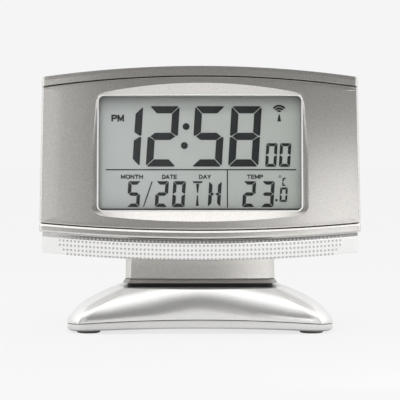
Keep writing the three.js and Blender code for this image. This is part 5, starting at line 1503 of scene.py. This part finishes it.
def door_cutter():
    """Slots either side of the latch tongue and grooves for the thumb on it."""
    top = DOOR_MIDDLE + DOOR_HALF_HEIGHT
    depths = (DOOR_INSIDE - OVERRUN, HEAD_DEPTH + OVERRUN)
    shells = []
    for side in (-LATCH_SIDE, LATCH_SIDE):
        across = (side - LATCH_SLOT_WIDTH / 2, side + LATCH_SLOT_WIDTH / 2)
        shells.append(block_rings(across, depths, (top - LATCH_LENGTH, top + OVERRUN)))
    ends = (-DOOR_GROOVE_HALF_LENGTH, DOOR_GROOVE_HALF_LENGTH)
    radius = DOOR_GROOVE_RADIUS
    for k in range(DOOR_GROOVES):
        rise = top - (k + 1) * DOOR_GROOVE_SPACING
        shells.append(rod_rings(ends, lambda x, a, b: (x, HEAD_DEPTH + radius * a, rise + radius * b)))
    return shells_object("door_cutter", shells, HEAD)


def door_panel():
    rings = [door_ring(0.0, DOOR_INSIDE), door_ring(0.0, HEAD_DEPTH - DOOR_EDGE)]
    rings.append(door_ring(DOOR_EDGE_BREAK, HEAD_DEPTH - DOOR_EDGE_BREAK))
    rings.append(door_ring(DOOR_EDGE, HEAD_DEPTH))
    return soften(carve(ring_object("door_panel", rings, HEAD), door_cutter()), "door")


def cross_radius(turn):
    """Reach of the cross recess in that direction."""
    wide, high = max(abs(math.cos(turn)), TINY), max(abs(math.sin(turn)), TINY)
    level = min(SCREW_CROSS_LENGTH / wide, SCREW_CROSS_WIDTH / high)
    upright = min(SCREW_CROSS_WIDTH / wide, SCREW_CROSS_LENGTH / high)
    return max(level, upright)


def screw_turns():
    """Directions round a screw, with all the corners of its recess among them."""
    corner = math.atan2(SCREW_CROSS_WIDTH, SCREW_CROSS_LENGTH)
    quarter = [0.0, corner, *map(math.radians, SCREW_SPOKES), math.pi / 2 - corner]
    return [turn + k * math.pi / 2 for k in range(4) for turn in quarter]


def screw_rings(length, place):
    turns = screw_turns()
    shank = [(SCREW_TIP, -length), (SCREW_RADIUS, SCREW_POINT - length), (SCREW_RADIUS, 0.0)]
    levels = [([radius] * len(turns), height) for radius, height in [*shank, *SCREW_HEAD]]
    cross = [cross_radius(turn) for turn in turns]
    levels.append((cross, SCREW_TOP))
    levels.append(([SCREW_CROSS_TAPER * radius for radius in cross], SCREW_CROSS_FLOOR))
    return [
        [place(r * math.cos(turn), r * math.sin(turn), height) for r, turn in zip(radii, turns)]
        for radii, height in levels
    ]


def housing_screw(name, x, z):
    rings = screw_rings(HOUSING_SCREW_LENGTH, lambda a, b, h: (x + a, HOUSING_SCREW_SEAT + h, z + b))
    return soften(ring_object(name, rings, HEAD), "screw")


def base_screw(name, x, y):
    rings = screw_rings(BASE_SCREW_LENGTH, lambda a, b, h: (x + a, y + b, BASE_SCREW_SEAT - h))
    return soften(ring_object(name, rings, LEVEL), "screw")


def plate_wells():
    """Cutter for the sunk holes of the base screws."""
    radius = BASE_WELL_RADIUS
    shells = [
        rod_rings((-OVERRUN, BASE_SCREW_SEAT), lambda z, a, b: (x + radius * a, y + radius * b, z))
        for x in (-BASE_SCREW_SIDE, BASE_SCREW_SIDE)
        for y in (-BASE_SCREW_FRONT, BASE_SCREW_FRONT)
    ]
    return shells_object("plate_wells", shells, LEVEL)


def bar_pusher():
    """Pin that reaches from the snooze bar to its switch."""
    rings = []
    for radius, depth in PUSHER_PROFILE:
        rings += rod_rings((depth,), lambda y, a, b: (radius * a, y, PUSHER_RISE + radius * b))
    return soften(ring_object("bar_pusher", rings, HEAD), "pin")


# Studio
def math_node(tree, operation, first, second=0.0):
    """Math node on two sources, of which the second may be a number."""
    return add_node(tree, "Math", {0: first, 1: second}, operation=operation).outputs["Value"]


def light_pool(tree):
    """Painted pool of light on the floor as seen in gloss: 1 round the clock, falling off towards the
    room.
    """
    away = add_node(tree, "VectorMath", {0: object_place(tree)}, operation="LENGTH")
    return value_range(tree, away.outputs["Value"], POOL_NEAR, POOL_FAR, 1.0, POOL_REST)


def blend_shaders(tree, share, first, second, output):
    """Lays the second shader over the first by the given share."""
    blend = add_node(tree, "MixShader", {"Fac": share, 1: first, 2: second})
    fill(tree, tree.nodes[output], {"Surface": blend.outputs["Shader"]})


def make_floor():
    """White floor that keeps the shadow and shows as white to the eye and in gloss; its glow fades in a
    painted contact shadow close to the clock.
    """
    mesh = bpy.data.meshes.new("floor")
    reach = FLOOR_REACH
    corners = [(-reach, -reach, 0), (reach, -reach, 0), (reach, reach, 0), (-reach, reach, 0)]
    mesh.from_pydata(corners, [], [(0, 1, 2, 3)])
    floor = link_object("floor", mesh)
    material, tree, shader = new_material("floor_white")
    fill(tree, shader, {"Base Color": FLOOR_COLOUR, "Roughness": 0.9, "Specular IOR Level": 0.0})
    glow = add_node(tree, "Emission", {"Color": (*WHITE, 1)}).outputs["Emission"]
    rays = add_node(tree, "LightPath").outputs
    # Painted pool of light: in gloss the floor glows brighter close to the clock
    mirrored = math_node(tree, "MULTIPLY", rays["Is Glossy Ray"], light_pool(tree))
    seen = math_node(tree, "MAXIMUM", rays["Is Camera Ray"], mirrored)
    seen = math_node(tree, "MAXIMUM", seen, rays["Is Transmission Ray"])
    # Painted contact shadow: the glow fades where ambient occlusion finds the clock close by
    open_sky = add_node(tree, "AmbientOcclusion", {"Distance": CONTACT_REACH}).outputs["AO"]
    glowing = value_range(tree, open_sky, CONTACT_LEAST, CONTACT_MOST, CONTACT_GLOW, FLOOR_GLOW)
    share = math_node(tree, "MULTIPLY", seen, glowing)
    blend_shaders(tree, share, shader.outputs["BSDF"], glow, "Material Output")
    mesh.materials.append(material)


def make_world():
    """Studio sky: grey room ahead, bright strip above and behind, white backdrop."""
    world = bpy.data.worlds.new("studio")
    bpy.context.scene.world = world
    world.use_nodes = True
    tree = world.node_tree
    sky = tree.nodes["Background"]
    place = add_node(tree, "TexCoord").outputs["Generated"]
    split = add_node(tree, "SeparateXYZ", {"Vector": place}).outputs
    rise = math_node(tree, "ABSOLUTE", split["Z"])
    aside = math_node(tree, "MULTIPLY", math_node(tree, "ABSOLUTE", split["X"]), SIDE_REACH)
    ahead = math_node(tree, "SUBTRACT", aside, split["Y"])
    share = math_node(tree, "DIVIDE", math_node(tree, "ARCTAN2", rise, ahead), math.pi)
    fill(tree, sky, {"Color": colour_stops(tree, share, SKY_STOPS)})
    white = add_node(tree, "Background", {"Color": (*WHITE, 1)}).outputs["Background"]
    rays = add_node(tree, "LightPath").outputs
    seen = math_node(tree, "MAXIMUM", rays["Is Camera Ray"], rays["Is Transmission Ray"])
    blend_shaders(tree, seen, sky.outputs["Background"], white, "World Output")


def make_lamps():
    for name, (location, target, size, power) in LAMPS.items():
        data = bpy.data.lights.new(name, "AREA")
        data.shape = "RECTANGLE"
        data.size, data.size_y = size
        data.energy = power
        lamp = link_object(name, data)
        lamp.location = location
        aim = Vector(target) - Vector(location)
        lamp.rotation_euler = aim.to_track_quat("-Z", "Y").to_euler()
        lamp.visible_glossy = name not in LAMPS_UNSEEN


def make_camera():
    data = bpy.data.cameras.new("camera")
    data.lens = CAMERA_LENS
    data.sensor_width = CAMERA_SENSOR
    data.clip_start = CAMERA_NEAR
    camera = link_object("camera", data)
    camera.location = CAMERA_PLACE
    camera.rotation_euler = (math.pi / 2 - CAMERA_DIP, 0.0, 0.0)
    bpy.context.scene.camera = camera


def build_pieces(finish):
    silver, bright = finish["housing_silver"], finish["bar_silver"]
    dress(soften(front_shell(), "front"), "clock", "housing_silver", silver, "front_housing")
    upper = trim_shell("top_trim_shell", top_trim_section)
    dress(upper, "clock", "housing_silver", silver, "top_trim")
    lower = trim_shell("bottom_trim_shell", bottom_trim_section)
    dress(lower, "clock", "housing_silver", silver, "bottom_trim")
    dress(window_rim(), "clock", "housing_silver", finish["rim_painted_highlight"])
    dress(window_pane(), "clock", "clear_window", finish["clear_window"], "window_lens")
    dress(display_ink(), "clock", "lcd_glass", finish["lcd_ink"])
    dress(bar_shell(), "snooze_bar", "bar_silver", bright, "snooze_bar")
    dress(bar_end("bar_end_left", -1), "snooze_bar", "bar_silver", bright)
    dress(bar_end("bar_end_right", 1), "snooze_bar", "bar_silver", bright)
    # The grip dots wear a darker grey as painted shade
    dress(grip_dots(), "snooze_bar", "bar_silver", finish["grip_shaded_grey"])
    dress(neck_shell(), "clock", "housing_silver", finish["neck_silver"], "neck")
    dress(collar_shell(), "clock", "collar_grey", finish["collar_grey"], "neck_collar")
    dress(base_shell(), "clock", "base_silver", finish["base_silver"], "base_cover")
    # The plinth is dressed in black as painted shade for the gap under the collar
    dress(plinth_shell(), "clock", "base_silver", finish["frame_black"])
    dress(plate_shell(), "clock", "base_silver", finish["plate_silver"], "base_plate")
    for side_name, side in (("left", -1), ("right", 1)):
        for end_name, end in (("front", -1), ("rear", 1)):
            place = f"{end_name}_{side_name}"
            pad = foot_pad(f"pad_{place}", side * FOOT_SIDE, end * FOOT_FRONT)
            dress(pad, "clock", "rubber_grey", finish["rubber_grey"], f"foot_{place}")
    build_back(finish)


def build_back(finish):
    """Keys, slider, battery door, labels and the screws that show."""
    for node, x in KEY_PLACES.items():
        dress(key_cap(f"{node}_cap", x), node, "key_grey", finish["key_grey"], node)
    dress(slider_knob(), "alarm_slider", "key_grey", finish["key_grey"], "alarm_slider")
    dress(door_panel(), "battery_door", "back_silver", finish["back_silver"], "battery_door")
    dress(rear_labels(), "clock", "back_silver", finish["label_grey"])
    dress(bar_pusher(), "snooze_bar", "bar_silver", finish["bar_silver"])
    corners = [(-1, -1), (1, -1), (-1, 1), (1, 1)]
    for k, (side, end) in enumerate(corners, 1):
        screw = housing_screw(f"housing_pan_{k}", side * HOUSING_SCREW_SIDE, end * HOUSING_SCREW_RISE)
        dress(screw, "clock", "steel", finish["steel"], f"housing_screw_{k}")
        screw = base_screw(f"base_pan_{k}", side * BASE_SCREW_SIDE, end * BASE_SCREW_FRONT)
        dress(screw, "clock", "steel", finish["steel"], f"base_screw_{k}")


def finish_nodes(frame, finish):
    """Gives the nodes that are still shown the finish of their material slot."""
    slots = {entry["node"]: entry["material_slot"] for entry in frame["record"]["subparts"]}
    for name, node in frame["nodes"].items():
        if node.hide_render:
            continue
        node.data.materials.clear()
        node.data.materials.append(finish[slots[name]])


def main():
    scene = bpy.context.scene
    scene.view_settings.view_transform = "Standard"
    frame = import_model()
    finish = make_materials()
    build_pieces(finish)
    finish_nodes(frame, finish)
    make_floor()
    make_world()
    make_lamps()
    make_camera()


main()
